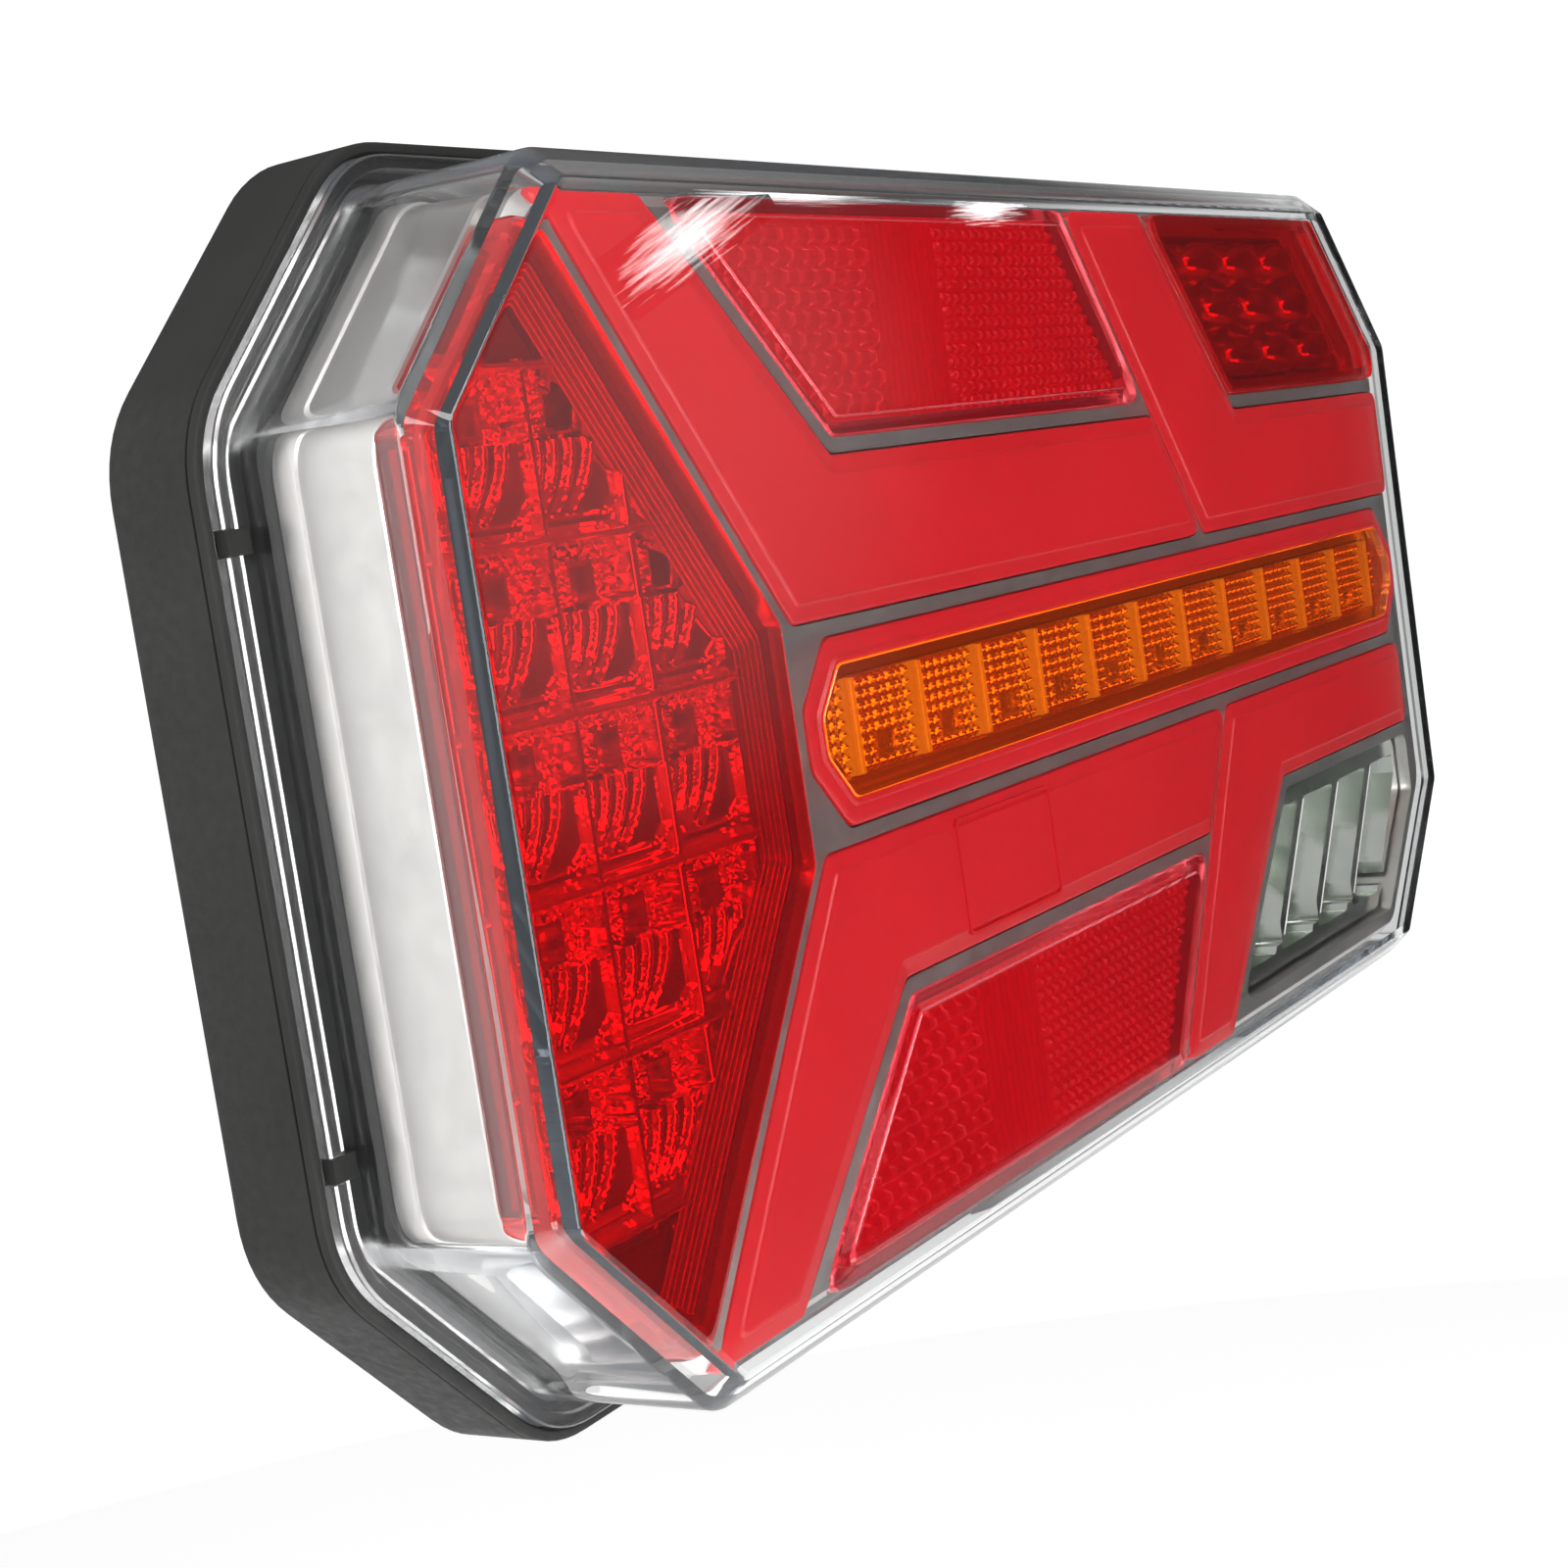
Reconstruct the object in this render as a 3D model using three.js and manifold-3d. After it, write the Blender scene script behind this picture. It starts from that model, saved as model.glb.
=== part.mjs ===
// Octagonal LED rear lamp for a trailer: a black housing, a clear welded cover, a metallised
// bezel that carries the coloured inner lenses, reflectors behind them and LED boards at the back.
//
// Every shape is built in face coordinates: x to the right, y up and z out of the rear mounting
// face towards the viewer. The last lines turn the assembly so that it hangs on a wall: the
// mounting face is the plane Y = 0, the lens looks along -Y and +Z is up. Millimetres.

import * as THREE from 'three';
import { mergeVertices } from 'three/addons/utils/BufferGeometryUtils.js';
import Module from 'manifold-3d';

const wasm = await Module();
wasm.setup();

// Outline of the lamp: an octagon with chamfered corners
const HALF_WIDTH = 120;
const HALF_HEIGHT = 60.3;
const CHAMFER = 24;
const CORNER_RADIUS = 14;
const SMALLEST_RADIUS = 3;
const CORNER_STEPS = 5;
const ROUND_SIDES = 24;
const BOSS_SIDES = 16;
const SCREW_SIDES = 12;
const DISH_SIDES = 12;
const WELD_DISTANCE = 1e-4;
const GAP = 0.3;

// Heights above the mounting face
const FLOOR_TOP = 2.5;
const RECESS_DEPTH = 0.9;
const SHELF_HEIGHT = 6.6;
const RIM_HEIGHT = 10.2;
const COLLAR_HEIGHT = 12.6;
const FLANGE_BOTTOM = 8.5;
const FLANGE_TOP = 9.9;
const LIP_TOP = 11.2;
const FRONT = 31.5;
const BEVEL_DEPTH = 3.3;

// Insets from the outline of the lamp
const RIM_THICKNESS = 1.1;
const LIP_INSET = RIM_THICKNESS + GAP;
const LIP_THICKNESS = 1.5;
const COVER_INSET = 4.05;
const BEVEL_WIDTH = 3.15;
const COVER_THICKNESS = 2.5;
const FACE_THICKNESS = 2.8;
const COLLAR_INSET = COVER_INSET + COVER_THICKNESS + GAP;
const COLLAR_THICKNESS = 1.6;
const NOTCH_HEIGHT = 26.5;
const NOTCH_WIDTH = 2.4;

// Bezel and inner lenses
const BEZEL_INSET = 7.3;
const BEZEL_WALL = 1.6;
const BEZEL_BOTTOM = 13;
const BEZEL_PLATE_BOTTOM = 20;
const BEZEL_PLATE_TOP = 21.6;
const RIB_TOP = 27.3;
const BEZEL_LEDGE_HEIGHT = 15.4;
const BEZEL_LEDGE_STEP = 0.3;
const BEZEL_STEP = 0.4;
const RIB_STEP = 1.1;
const OPENING_MARGIN = 1.8;
const LENS_INSET = 7.8;
const LENS_BOTTOM = BEZEL_PLATE_TOP + GAP;
const LENS_TOP = 27.9;
const LENS_SKIN = 2;
const LENS_WALL = 1.6;
const LENS_BEVEL = 1;

// Reflectors, boards and fasteners
const REFLECTOR_BOTTOM = 8.7;
const REFLECTOR_TOP = BEZEL_PLATE_BOTTOM - GAP;
const REFLECTOR_MARGIN = 2.6;
const REFLECTOR_INSET = COLLAR_INSET + COLLAR_THICKNESS + 2;
const CELL_WALL = 0.9;
const LED_HOLE = 4.6;
const BOARD_BOTTOM = 5.3;
const BOARD_THICKNESS = 1.6;
const BOARD_INSET = COLLAR_INSET + COLLAR_THICKNESS + 1;
const LED_WIDTH = 3.5;
const LED_DEPTH = 2.8;
const LED_HEIGHT = 1.1;
const BOSS_RADIUS = 3.6;
const SCREW_HEAD_RADIUS = 2.8;
const SCREW_SHANK_RADIUS = 1.4;
const SCREW_HOLE_RADIUS = SCREW_SHANK_RADIUS + GAP;
const STUD_SPACING = 152;
const STUD_RADIUS = 2.5;
const STUD_LENGTH = 20;
const STUD_HEAD_RADIUS = 5;
const STUD_HEAD_HEIGHT = 2;
const BOSS_FOOT = 1;
const SCREW_HEAD_HEIGHT = 1.2;
const SCREW_SHANK_LENGTH = 4.6;
const SCREW_BORE_FOOT = 1.2;
const GLAND_X = 20;
const GLAND_Y = -30;
const GLAND_RADIUS = 6;
const GLAND_LENGTH = 8;
const CABLE_RADIUS = 3.6;
const CABLE_ENTRY_DEPTH = 7.5;
const VENT_X = -20;
const VENT_Y = -30;
const VENT_RADIUS = 4;

const VENT_SINK = 0.4;
const FLANGE_REACH = 1.5;
const FLANGE_THICKNESS = 1.2;

// Moulded panels in the back: their middles, sizes and the land left around the edge
const TOP_PANEL = { x: 58, y: 31, width: 82, height: 36 };
const LOW_PANEL = { x: 71, y: -31, width: 56, height: 36 };
const REAR_LAND = 11;

// Cutters run past the faces they open, and joined bodies share a little depth
const FAR = 140;
const PAST_RIM = 57;
const PAST_FACE = 1;
const SHARED = 0.5;
const HALF_DIAGONAL = Math.SQRT1_2;

// Tail chamber: three columns and five rows of reflector cells
const TAIL_CELL_WIDTH = 12.4;
const TAIL_CELL_HEIGHT = 15;
const TAIL_FIRST_X = -103;
const TAIL_COLUMNS = 3;
const TAIL_ROWS_EACH_SIDE = 2;
// Indicator: thirteen cells in a row
const INDICATOR_PITCH = 13.95;
const INDICATOR_FIRST_BAR = -52.5;
const INDICATOR_CELLS = 13;
const INDICATOR_CELL_HEIGHT = 13;
const END_CELL_WIDTH = 7.2;
const END_CELL_HEIGHT = 8.4;
// Fog chamber: three slanting columns of three dishes
const FOG_COLUMNS = 3;
const FOG_ROWS = 3;
const FOG_PITCH_X = 14;
const FOG_PITCH_Y = 6.6;
const FOG_SLANT = 5.5;
const FOG_FIRST_X = 62;
const FOG_FIRST_Y = 47;
const FOG_DISH_RADIUS = 3.1;
const FOG_DISH_FLOOR_RADIUS = 2.5;
// Reversing chamber: four slanting bays
const BAY_COUNT = 4;
const BAY_PITCH = 14.2;
const BAY_FIRST_X = 52;
const BAY_Y = -37.5;
const BAY_HEIGHT = 17;
const BAY_WIDTH = 11.5;
const BAY_SLANT = 0.8;
const BAY_FLOOR = 2;
const REVERSING_GAP = 0.6;
const REVERSING_TOP = RIB_TOP - 2;
// A cell's floor is this share of its mouth
const CELL_TAPER = 0.42;
const CELL_FLOOR = 1;
const CELL_BRIM = 0.01;

// --- outlines -----------------------------------------------------------------------------------

// The same polygon with every edge moved outwards by `distance` (inwards when negative).
function offsetOutline(points, distance) {
  const count = points.length;
  const area = points.reduce((sum, [x, y], i) => {
    const [nextX, nextY] = points[(i + 1) % count];
    return sum + x * nextY - nextX * y;
  }, 0);
  const side = Math.sign(area) * distance;
  const edges = points.map(([x, y], i) => {
    const [nextX, nextY] = points[(i + 1) % count];
    const length = Math.hypot(nextX - x, nextY - y);
    const [dx, dy] = [(nextX - x) / length, (nextY - y) / length];
    return { x: x + dy * side, y: y - dx * side, dx, dy };
  });
  return edges.map((edge, i) => {
    const before = edges[(i + count - 1) % count];
    const cross = before.dx * edge.dy - before.dy * edge.dx;
    const along = ((edge.x - before.x) * edge.dy - (edge.y - before.y) * edge.dx) / cross;
    return [before.x + before.dx * along, before.y + before.dy * along];
  });
}

function octagon(inset) {
  const w = HALF_WIDTH;
  const h = HALF_HEIGHT;
  const c = CHAMFER;
  const corners = [
    [w, -h + c], [w, h - c], [w - c, h], [-w + c, h],
    [-w, h - c], [-w, -h + c], [-w + c, -h], [w - c, -h],
  ];
  return offsetOutline(corners, -inset);
}

// A closed shape through the corners, each rounded with the same radius.
function roundedShape(points, radius) {
  const shape = new THREE.Shape();
  points.forEach((corner, i) => {
    const before = new THREE.Vector2(...points[(i + points.length - 1) % points.length]);
    const after = new THREE.Vector2(...points[(i + 1) % points.length]);
    const here = new THREE.Vector2(...corner);
    const towardsBefore = before.sub(here).normalize();
    const towardsAfter = after.sub(here).normalize();
    const halfAngle = Math.acos(towardsBefore.dot(towardsAfter)) / 2;
    const reach = radius / Math.tan(halfAngle);
    const start = here.clone().addScaledVector(towardsBefore, reach);
    const end = here.clone().addScaledVector(towardsAfter, reach);
    if (i === 0) {
      shape.moveTo(start.x, start.y);
    } else {
      shape.lineTo(start.x, start.y);
    }
    shape.quadraticCurveTo(here.x, here.y, end.x, end.y);
  });
  shape.closePath();
  return shape;
}

function polygonShape(points) {
  return new THREE.Shape(points.map(([x, y]) => new THREE.Vector2(x, y)));
}

// --- solids -------------------------------------------------------------------------------------

function solid(geometry) {
  const bare = geometry.clone();
  bare.deleteAttribute('normal');
  bare.deleteAttribute('uv');
  const merged = mergeVertices(bare, WELD_DISTANCE);
  return new wasm.Manifold(new wasm.Mesh({
    numProp: 3,
    vertProperties: new Float32Array(merged.attributes.position.array),
    triVerts: new Uint32Array(merged.index.array),
  }));
}

function toGeometry(body) {
  const mesh = body.getMesh();
  const geometry = new THREE.BufferGeometry();
  geometry.setAttribute('position', new THREE.BufferAttribute(mesh.vertProperties, 3));
  geometry.setIndex(new THREE.BufferAttribute(mesh.triVerts, 1));
  const faceted = geometry.toNonIndexed();
  faceted.computeVertexNormals();
  return faceted;
}

function prismOfShape(shape, bottom, top) {
  const geometry = new THREE.ExtrudeGeometry(shape, {
    depth: top - bottom,
    bevelEnabled: false,
    curveSegments: CORNER_STEPS,
  });
  return solid(geometry.translate(0, 0, bottom));
}

function prism(points, bottom, top) {
  return prismOfShape(polygonShape(points), bottom, top);
}

function radiusAt(inset) {
  return Math.max(CORNER_RADIUS - inset, SMALLEST_RADIUS);
}

function octagonPrism(inset, bottom, top) {
  return prismOfShape(roundedShape(octagon(inset), radiusAt(inset)), bottom, top);
}

// An octagonal prism whose front edge is bevelled.
function bevelledPrism(inset, bottom, top, width, depth) {
  const face = roundedShape(octagon(inset + width), radiusAt(inset + width));
  const geometry = new THREE.ExtrudeGeometry(face, {
    depth: top - bottom,
    bevelEnabled: true,
    bevelSize: width,
    bevelThickness: depth,
    bevelSegments: 1,
    curveSegments: CORNER_STEPS,
  });
  const both = solid(geometry.translate(0, 0, bottom - depth));
  return both.subtract(box(0, 0, 2 * FAR, 2 * FAR, bottom - 2 * depth, bottom));
}

function octagonRing(outerInset, innerInset, bottom, top) {
  const middle = octagonPrism(innerInset, bottom - PAST_FACE, top + PAST_FACE);
  return octagonPrism(outerInset, bottom, top).subtract(middle);
}

function box(x, y, width, height, bottom, top) {
  const geometry = new THREE.BoxGeometry(width, height, top - bottom);
  return solid(geometry.translate(x, y, (bottom + top) / 2));
}

function disc(x, y, radius, bottom, top, sides = ROUND_SIDES) {
  const geometry = new THREE.CylinderGeometry(radius, radius, top - bottom, sides);
  return solid(geometry.rotateX(Math.PI / 2).translate(x, y, (bottom + top) / 2));
}

// A hollow that narrows from `topRadius` at the front to `bottomRadius` at the back.
function cone(x, y, topRadius, bottomRadius, bottom, top, sides) {
  const geometry = new THREE.CylinderGeometry(topRadius, bottomRadius, top - bottom, sides);
  return solid(geometry.rotateX(Math.PI / 2).translate(x, y, (bottom + top) / 2));
}

// A rectangular hollow that narrows towards the back.
function taperedCell(x, y, width, height, bottom, top) {
  const floor = HALF_DIAGONAL * CELL_TAPER;
  const geometry = new THREE.CylinderGeometry(HALF_DIAGONAL, floor, top - bottom, 4, 1);
  geometry.rotateY(Math.PI / 4).rotateX(Math.PI / 2).scale(width, height, 1);
  return solid(geometry.translate(x, y, (bottom + top) / 2));
}

function joinAll(bodies) {
  return bodies.reduce((whole, body) => whole.add(body));
}

function cutAll(body, cutters) {
  return cutters.reduce((rest, cutter) => rest.subtract(cutter), body);
}

// --- the face layout ----------------------------------------------------------------------------

// Outlines of the inner lenses. Those that reach the rim run past it and are clipped to the octagon.
const TAIL_REGION = [
  [-FAR, -PAST_RIM], [-99.4, -PAST_RIM], [-65.2, -11.8], [-65.2, 11.8], [-99.4, PAST_RIM], [-FAR, PAST_RIM],
];
const UPPER_GUIDE_REGION = [
  [-62.9, 11.3], [39.5, 11.3], [28, 27.2], [-51.1, 27.2], [-83, PAST_RIM], [-97.4, PAST_RIM],
];
const UPPER_REFLEX_REGION = [[-50.3, 29], [26.2, 29], [5.9, PAST_RIM], [-80.3, PAST_RIM]];
const UPPER_ARM_REGION = [
  [40.1, 11.3], [FAR, 11.3], [FAR, 26.8], [55.4, 26.8], [27.9, PAST_RIM], [6.6, PAST_RIM],
];
const FOG_REGION = [[54.2, 28.8], [FAR, 28.8], [FAR, PAST_RIM], [28.5, PAST_RIM]];
const INDICATOR_REGION = [
  [-63.2, -3], [-57.5, -9.5], [105, -9.5], [110.8, -3],
  [110.8, 3], [105, 9.5], [-57.5, 9.5], [-63.2, 3],
];
const LOWER_GUIDE_REGION = [
  [-97.4, -PAST_RIM], [-83.6, -PAST_RIM], [-51.1, -26.3], [29.7, -26.3], [39.5, -11.3], [-62.9, -11.3],
];
const LOWER_REFLEX_REGION = [[-80.3, -PAST_RIM], [9.5, -PAST_RIM], [28.2, -28.2], [-50.3, -28.2]];
const LOWER_ARM_REGION = [
  [10.2, -PAST_RIM], [24, -PAST_RIM], [56.4, -23.4], [108.6, -23.4], [108.6, -11.3], [40.1, -11.3],
];
const REVERSING_REGION = [[33, -49.6], [57.3, -25.2], [107.6, -25.2], [107.6, -34], [92, -49.6]];

// The lenses with a light source behind them, and the two that only reflect
const LIT_REGIONS = [
  TAIL_REGION, UPPER_GUIDE_REGION, UPPER_ARM_REGION, FOG_REGION,
  INDICATOR_REGION, LOWER_GUIDE_REGION, LOWER_ARM_REGION,
];
const REFLEX_REGIONS = [UPPER_REFLEX_REGION, LOWER_REFLEX_REGION];

// --- housing and cover --------------------------------------------------------------------------

function studPositions() {
  return [[-STUD_SPACING / 2, 0], [STUD_SPACING / 2, 0]];
}

function buildHousing() {
  const shell = octagonPrism(0, 0, RIM_HEIGHT);
  const collar = octagonRing(
    COLLAR_INSET, COLLAR_INSET + COLLAR_THICKNESS, FLOOR_TOP - SHARED, COLLAR_HEIGHT,
  );
  const rebate = octagonPrism(RIM_THICKNESS, SHELF_HEIGHT, FRONT);
  const cavity = octagonPrism(COLLAR_INSET + COLLAR_THICKNESS, FLOOR_TOP, FRONT);
  const bosses = screwPositions().map(([x, y]) => {
    return disc(x, y, BOSS_RADIUS, BOSS_FOOT, BOARD_BOTTOM - GAP, BOSS_SIDES);
  });
  const screwBores = screwPositions().map(([x, y]) => {
    return disc(x, y, SCREW_HOLE_RADIUS, SCREW_BORE_FOOT, BOARD_BOTTOM, SCREW_SIDES);
  });
  const studBores = studPositions().map(([x, y]) => floorBore(x, y, STUD_RADIUS));
  const glandBore = floorBore(GLAND_X, GLAND_Y, GLAND_RADIUS);
  const ventBore = floorBore(VENT_X, VENT_Y, VENT_RADIUS);
  const tray = joinAll([shell.subtract(rebate).subtract(cavity), collar, ...bosses]);
  return cutAll(tray, [...screwBores, ...studBores, glandBore, ventBore, ...rearRecesses()]);
}

// A hole through the floor for something of the given radius.
function floorBore(x, y, radius) {
  return disc(x, y, radius + GAP, -PAST_FACE, FLOOR_TOP + PAST_FACE);
}

// Shallow panels moulded into the back, clear of the studs, the gland and the vent.
function rearRecesses() {
  const inner = octagonPrism(REAR_LAND, -PAST_FACE, RECESS_DEPTH);
  return [TOP_PANEL, LOW_PANEL].flatMap(({ x, y, width, height }) => [-1, 1].map((side) => {
    return box(side * x, y, width, height, -PAST_FACE, RECESS_DEPTH).intersect(inner);
  }));
}

function buildCover() {
  const outside = bevelledPrism(COVER_INSET, FLANGE_BOTTOM, FRONT, BEVEL_WIDTH, BEVEL_DEPTH);
  const insideInset = COVER_INSET + COVER_THICKNESS;
  const inside = bevelledPrism(
    insideInset, FLANGE_BOTTOM - PAST_FACE, FRONT - FACE_THICKNESS, BEVEL_WIDTH / 2, BEVEL_DEPTH / 2,
  );
  const flange = octagonRing(LIP_INSET, COVER_INSET + SHARED, FLANGE_BOTTOM, FLANGE_TOP);
  const lip = octagonRing(LIP_INSET, LIP_INSET + LIP_THICKNESS, FLANGE_TOP - SHARED, LIP_TOP);
  const notches = [-1, 1].map((side) => {
    const x = -HALF_WIDTH + LIP_INSET;
    return box(x, side * NOTCH_HEIGHT, 4 * LIP_THICKNESS, NOTCH_WIDTH, FLANGE_TOP, FRONT);
  });
  return joinAll([outside, flange, cutAll(lip, notches)]).subtract(inside);
}

function buildSeal() {
  const outer = RIM_THICKNESS + GAP;
  const inner = COLLAR_INSET - GAP;
  return octagonRing(outer, inner, SHELF_HEIGHT + GAP, FLANGE_BOTTOM - GAP);
}

// --- bezel and inner lenses ---------------------------------------------------------------------

function buildBezel() {
  const wall = octagonRing(BEZEL_INSET, BEZEL_INSET + BEZEL_WALL, BEZEL_BOTTOM, BEZEL_PLATE_TOP);
  const ledge = octagonRing(
    BEZEL_INSET - BEZEL_LEDGE_STEP, BEZEL_INSET + BEZEL_WALL, BEZEL_BOTTOM, BEZEL_LEDGE_HEIGHT,
  );
  const plate = octagonPrism(BEZEL_INSET + BEZEL_STEP, BEZEL_PLATE_BOTTOM, RIB_TOP - RIB_STEP);
  const ribs = octagonPrism(LENS_INSET + RIB_STEP, RIB_TOP - RIB_STEP - SHARED, RIB_TOP);
  const seats = [...LIT_REGIONS, ...REFLEX_REGIONS].map((region) => {
    return prism(offsetOutline(region, GAP), BEZEL_PLATE_TOP, FRONT);
  });
  const openings = LIT_REGIONS.map(openingThrough);
  const window = prism(REVERSING_REGION, BEZEL_BOTTOM, FRONT);
  return cutAll(joinAll([wall, ledge, plate, ribs]), [...seats, ...openings, window]);
}

function openingThrough(region) {
  const opening = prism(offsetOutline(region, -OPENING_MARGIN), BEZEL_BOTTOM, FRONT);
  return opening.intersect(octagonPrism(LENS_INSET + REFLECTOR_MARGIN, BEZEL_BOTTOM, FRONT));
}

function buildInnerLens(region) {
  const rim = bevelledPrism(LENS_INSET, LENS_BOTTOM, LENS_TOP, LENS_BEVEL, LENS_BEVEL);
  const block = prism(region, LENS_BOTTOM, LENS_TOP).intersect(rim);
  const foot = LENS_BOTTOM - PAST_FACE;
  const hollow = prism(offsetOutline(region, -LENS_WALL), foot, LENS_TOP - LENS_SKIN);
  const inside = octagonPrism(LENS_INSET + LENS_WALL, foot, LENS_TOP);
  return block.subtract(hollow.intersect(inside));
}

// --- reflectors ---------------------------------------------------------------------------------

function reflectorBlock(region) {
  const block = prism(offsetOutline(region, -REFLECTOR_MARGIN), REFLECTOR_BOTTOM, REFLECTOR_TOP);
  const limit = octagonPrism(REFLECTOR_INSET, REFLECTOR_BOTTOM, REFLECTOR_TOP);
  return block.intersect(limit);
}

function tailCells() {
  const cells = [];
  for (let column = 0; column < TAIL_COLUMNS; column += 1) {
    for (let row = -TAIL_ROWS_EACH_SIDE; row <= TAIL_ROWS_EACH_SIDE; row += 1) {
      const lastColumn = column === TAIL_COLUMNS - 1;
      const endRow = Math.abs(row) === TAIL_ROWS_EACH_SIDE;
      const clearOfDiagonal = !(lastColumn && endRow);
      if (clearOfDiagonal) {
        cells.push([TAIL_FIRST_X + column * TAIL_CELL_WIDTH, row * TAIL_CELL_HEIGHT]);
      }
    }
  }
  return cells;
}

function indicatorCells() {
  const first = INDICATOR_FIRST_BAR - INDICATOR_PITCH / 2;
  return Array.from({ length: INDICATOR_CELLS }, (_, i) => [first + i * INDICATOR_PITCH, 0]);
}

function fogCells() {
  const cells = [];
  for (let column = 0; column < FOG_COLUMNS; column += 1) {
    for (let row = 0; row < FOG_ROWS; row += 1) {
      cells.push([FOG_FIRST_X + column * FOG_PITCH_X + row * FOG_SLANT, FOG_FIRST_Y - row * FOG_PITCH_Y]);
    }
  }
  return cells;
}

function reversingCells() {
  return Array.from({ length: BAY_COUNT }, (_, i) => [BAY_FIRST_X + i * BAY_PITCH, BAY_Y]);
}

function ledHoles(cells) {
  return cells.map(([x, y]) => {
    return box(x, y, LED_HOLE, LED_HOLE, REFLECTOR_BOTTOM - PAST_FACE, REFLECTOR_TOP);
  });
}

function reflectorCell(x, y, width, height) {
  return taperedCell(x, y, width, height, REFLECTOR_BOTTOM + CELL_FLOOR, REFLECTOR_TOP + CELL_BRIM);
}

function buildTailReflector() {
  const width = TAIL_CELL_WIDTH - CELL_WALL;
  const height = TAIL_CELL_HEIGHT - CELL_WALL;
  const dishes = tailCells().map(([x, y]) => reflectorCell(x, y, width, height));
  return cutAll(reflectorBlock(TAIL_REGION), [...dishes, ...ledHoles(tailCells())]);
}

function buildIndicatorReflector() {
  const width = INDICATOR_PITCH - CELL_WALL;
  const cells = indicatorCells();
  const dishes = cells.map(([x, y], i) => {
    const atEnd = i === 0 || i === cells.length - 1;
    return atEnd
      ? reflectorCell(x, y, END_CELL_WIDTH, END_CELL_HEIGHT)
      : reflectorCell(x, y, width, INDICATOR_CELL_HEIGHT);
  });
  const middle = cells.slice(1, -1);
  return cutAll(reflectorBlock(INDICATOR_REGION), [...dishes, ...ledHoles(middle)]);
}

function buildFogReflector() {
  const bottom = REFLECTOR_BOTTOM - PAST_FACE;
  const top = REFLECTOR_TOP + PAST_FACE;
  const dishes = fogCells().map(([x, y]) => {
    return cone(x, y, FOG_DISH_RADIUS, FOG_DISH_FLOOR_RADIUS, bottom, top, DISH_SIDES);
  });
  return cutAll(reflectorBlock(FOG_REGION), dishes);
}

function reversingBay([x, y]) {
  const half = BAY_WIDTH / 2;
  const rise = BAY_HEIGHT / 2;
  const lean = rise * BAY_SLANT;
  const corners = [
    [x - half - lean, y - rise], [x + half - lean, y - rise],
    [x + half + lean, y + rise], [x - half + lean, y + rise],
  ];
  return prism(corners, REFLECTOR_BOTTOM + BAY_FLOOR, FRONT);
}

function buildReversingReflector() {
  const outline = offsetOutline(REVERSING_REGION, -REVERSING_GAP);
  const block = prism(outline, REFLECTOR_BOTTOM, REVERSING_TOP);
  const bays = reversingCells().map(reversingBay);
  return cutAll(block, [...bays, ...ledHoles(reversingCells())]);
}

// --- boards and fasteners -----------------------------------------------------------------------

const BOARDS = {
  tail_led_board: { x: -92, y: 0, width: 34, height: 76, leds: tailCells() },
  indicator_led_board: { x: 23.7, y: 0, width: 168, height: 15, leds: indicatorCells().slice(1, -1) },
  upper_guide_led_board: { x: -12, y: 22, width: 88, height: 12, leds: ledRow(-46, 22, 22, 4) },
  lower_guide_led_board: { x: -34, y: -19.2, width: 60, height: 12, leds: ledRow(-58, -19.2, 16, 4) },
  fog_led_board: { x: 81.5, y: 40.4, width: 46, height: 19, leds: fogCells() },
  reversing_led_board: { x: 73.3, y: -37.5, width: 56, height: 16, leds: reversingCells() },
};

function ledRow(firstX, y, pitch, count) {
  return Array.from({ length: count }, (_, i) => [firstX + i * pitch, y]);
}

// Two screws hold each board, in tabs beside its LEDs.
const BOARD_SCREWS = {
  tail_led_board: [[-96.8, 22.5], [-96.8, -22.5]],
  indicator_led_board: [[-10.65, 0], [59.1, 0]],
  upper_guide_led_board: [[-35, 22], [9, 22]],
  lower_guide_led_board: [[-50, -19.2], [-18, -19.2]],
  fog_led_board: [[80, 34], [83, 46.8]],
  reversing_led_board: [[59.1, -37.5], [87.5, -37.5]],
};

function screwPositions() {
  return Object.values(BOARD_SCREWS).flat();
}

function buildBoard(name) {
  const { x, y, width, height, leds } = BOARDS[name];
  const top = BOARD_BOTTOM + BOARD_THICKNESS;
  const limit = octagonPrism(BOARD_INSET, BOARD_BOTTOM, top);
  const board = box(x, y, width, height, BOARD_BOTTOM, top).intersect(limit);
  const packages = leds.map(([ledX, ledY]) => {
    return box(ledX, ledY, LED_WIDTH, LED_DEPTH, top - SHARED, top + LED_HEIGHT);
  });
  const holes = BOARD_SCREWS[name].map(([holeX, holeY]) => {
    return disc(holeX, holeY, SCREW_HOLE_RADIUS, 0, FRONT, SCREW_SIDES);
  });
  return cutAll(joinAll([board, ...packages]), holes);
}

// Head and shank turned as one profile about the screw's axis.
function buildScrew(headRadius, headHeight, shankRadius, shankLength, sides) {
  const profile = [
    [0, -shankLength], [shankRadius, -shankLength], [shankRadius, 0],
    [headRadius, 0], [headRadius, headHeight], [0, headHeight],
  ].map(([radius, height]) => new THREE.Vector2(radius, height));
  return solid(new THREE.LatheGeometry(profile, sides).rotateX(Math.PI / 2));
}

function buildGland() {
  const seat = FLOOR_TOP + GAP;
  const body = disc(0, 0, GLAND_RADIUS, -GLAND_LENGTH, seat + SHARED);
  const flange = disc(0, 0, GLAND_RADIUS + FLANGE_REACH, seat, seat + FLANGE_THICKNESS);
  const entry = disc(0, 0, CABLE_RADIUS, -FAR, CABLE_ENTRY_DEPTH - GLAND_LENGTH);
  return body.add(flange).subtract(entry);
}

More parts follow.
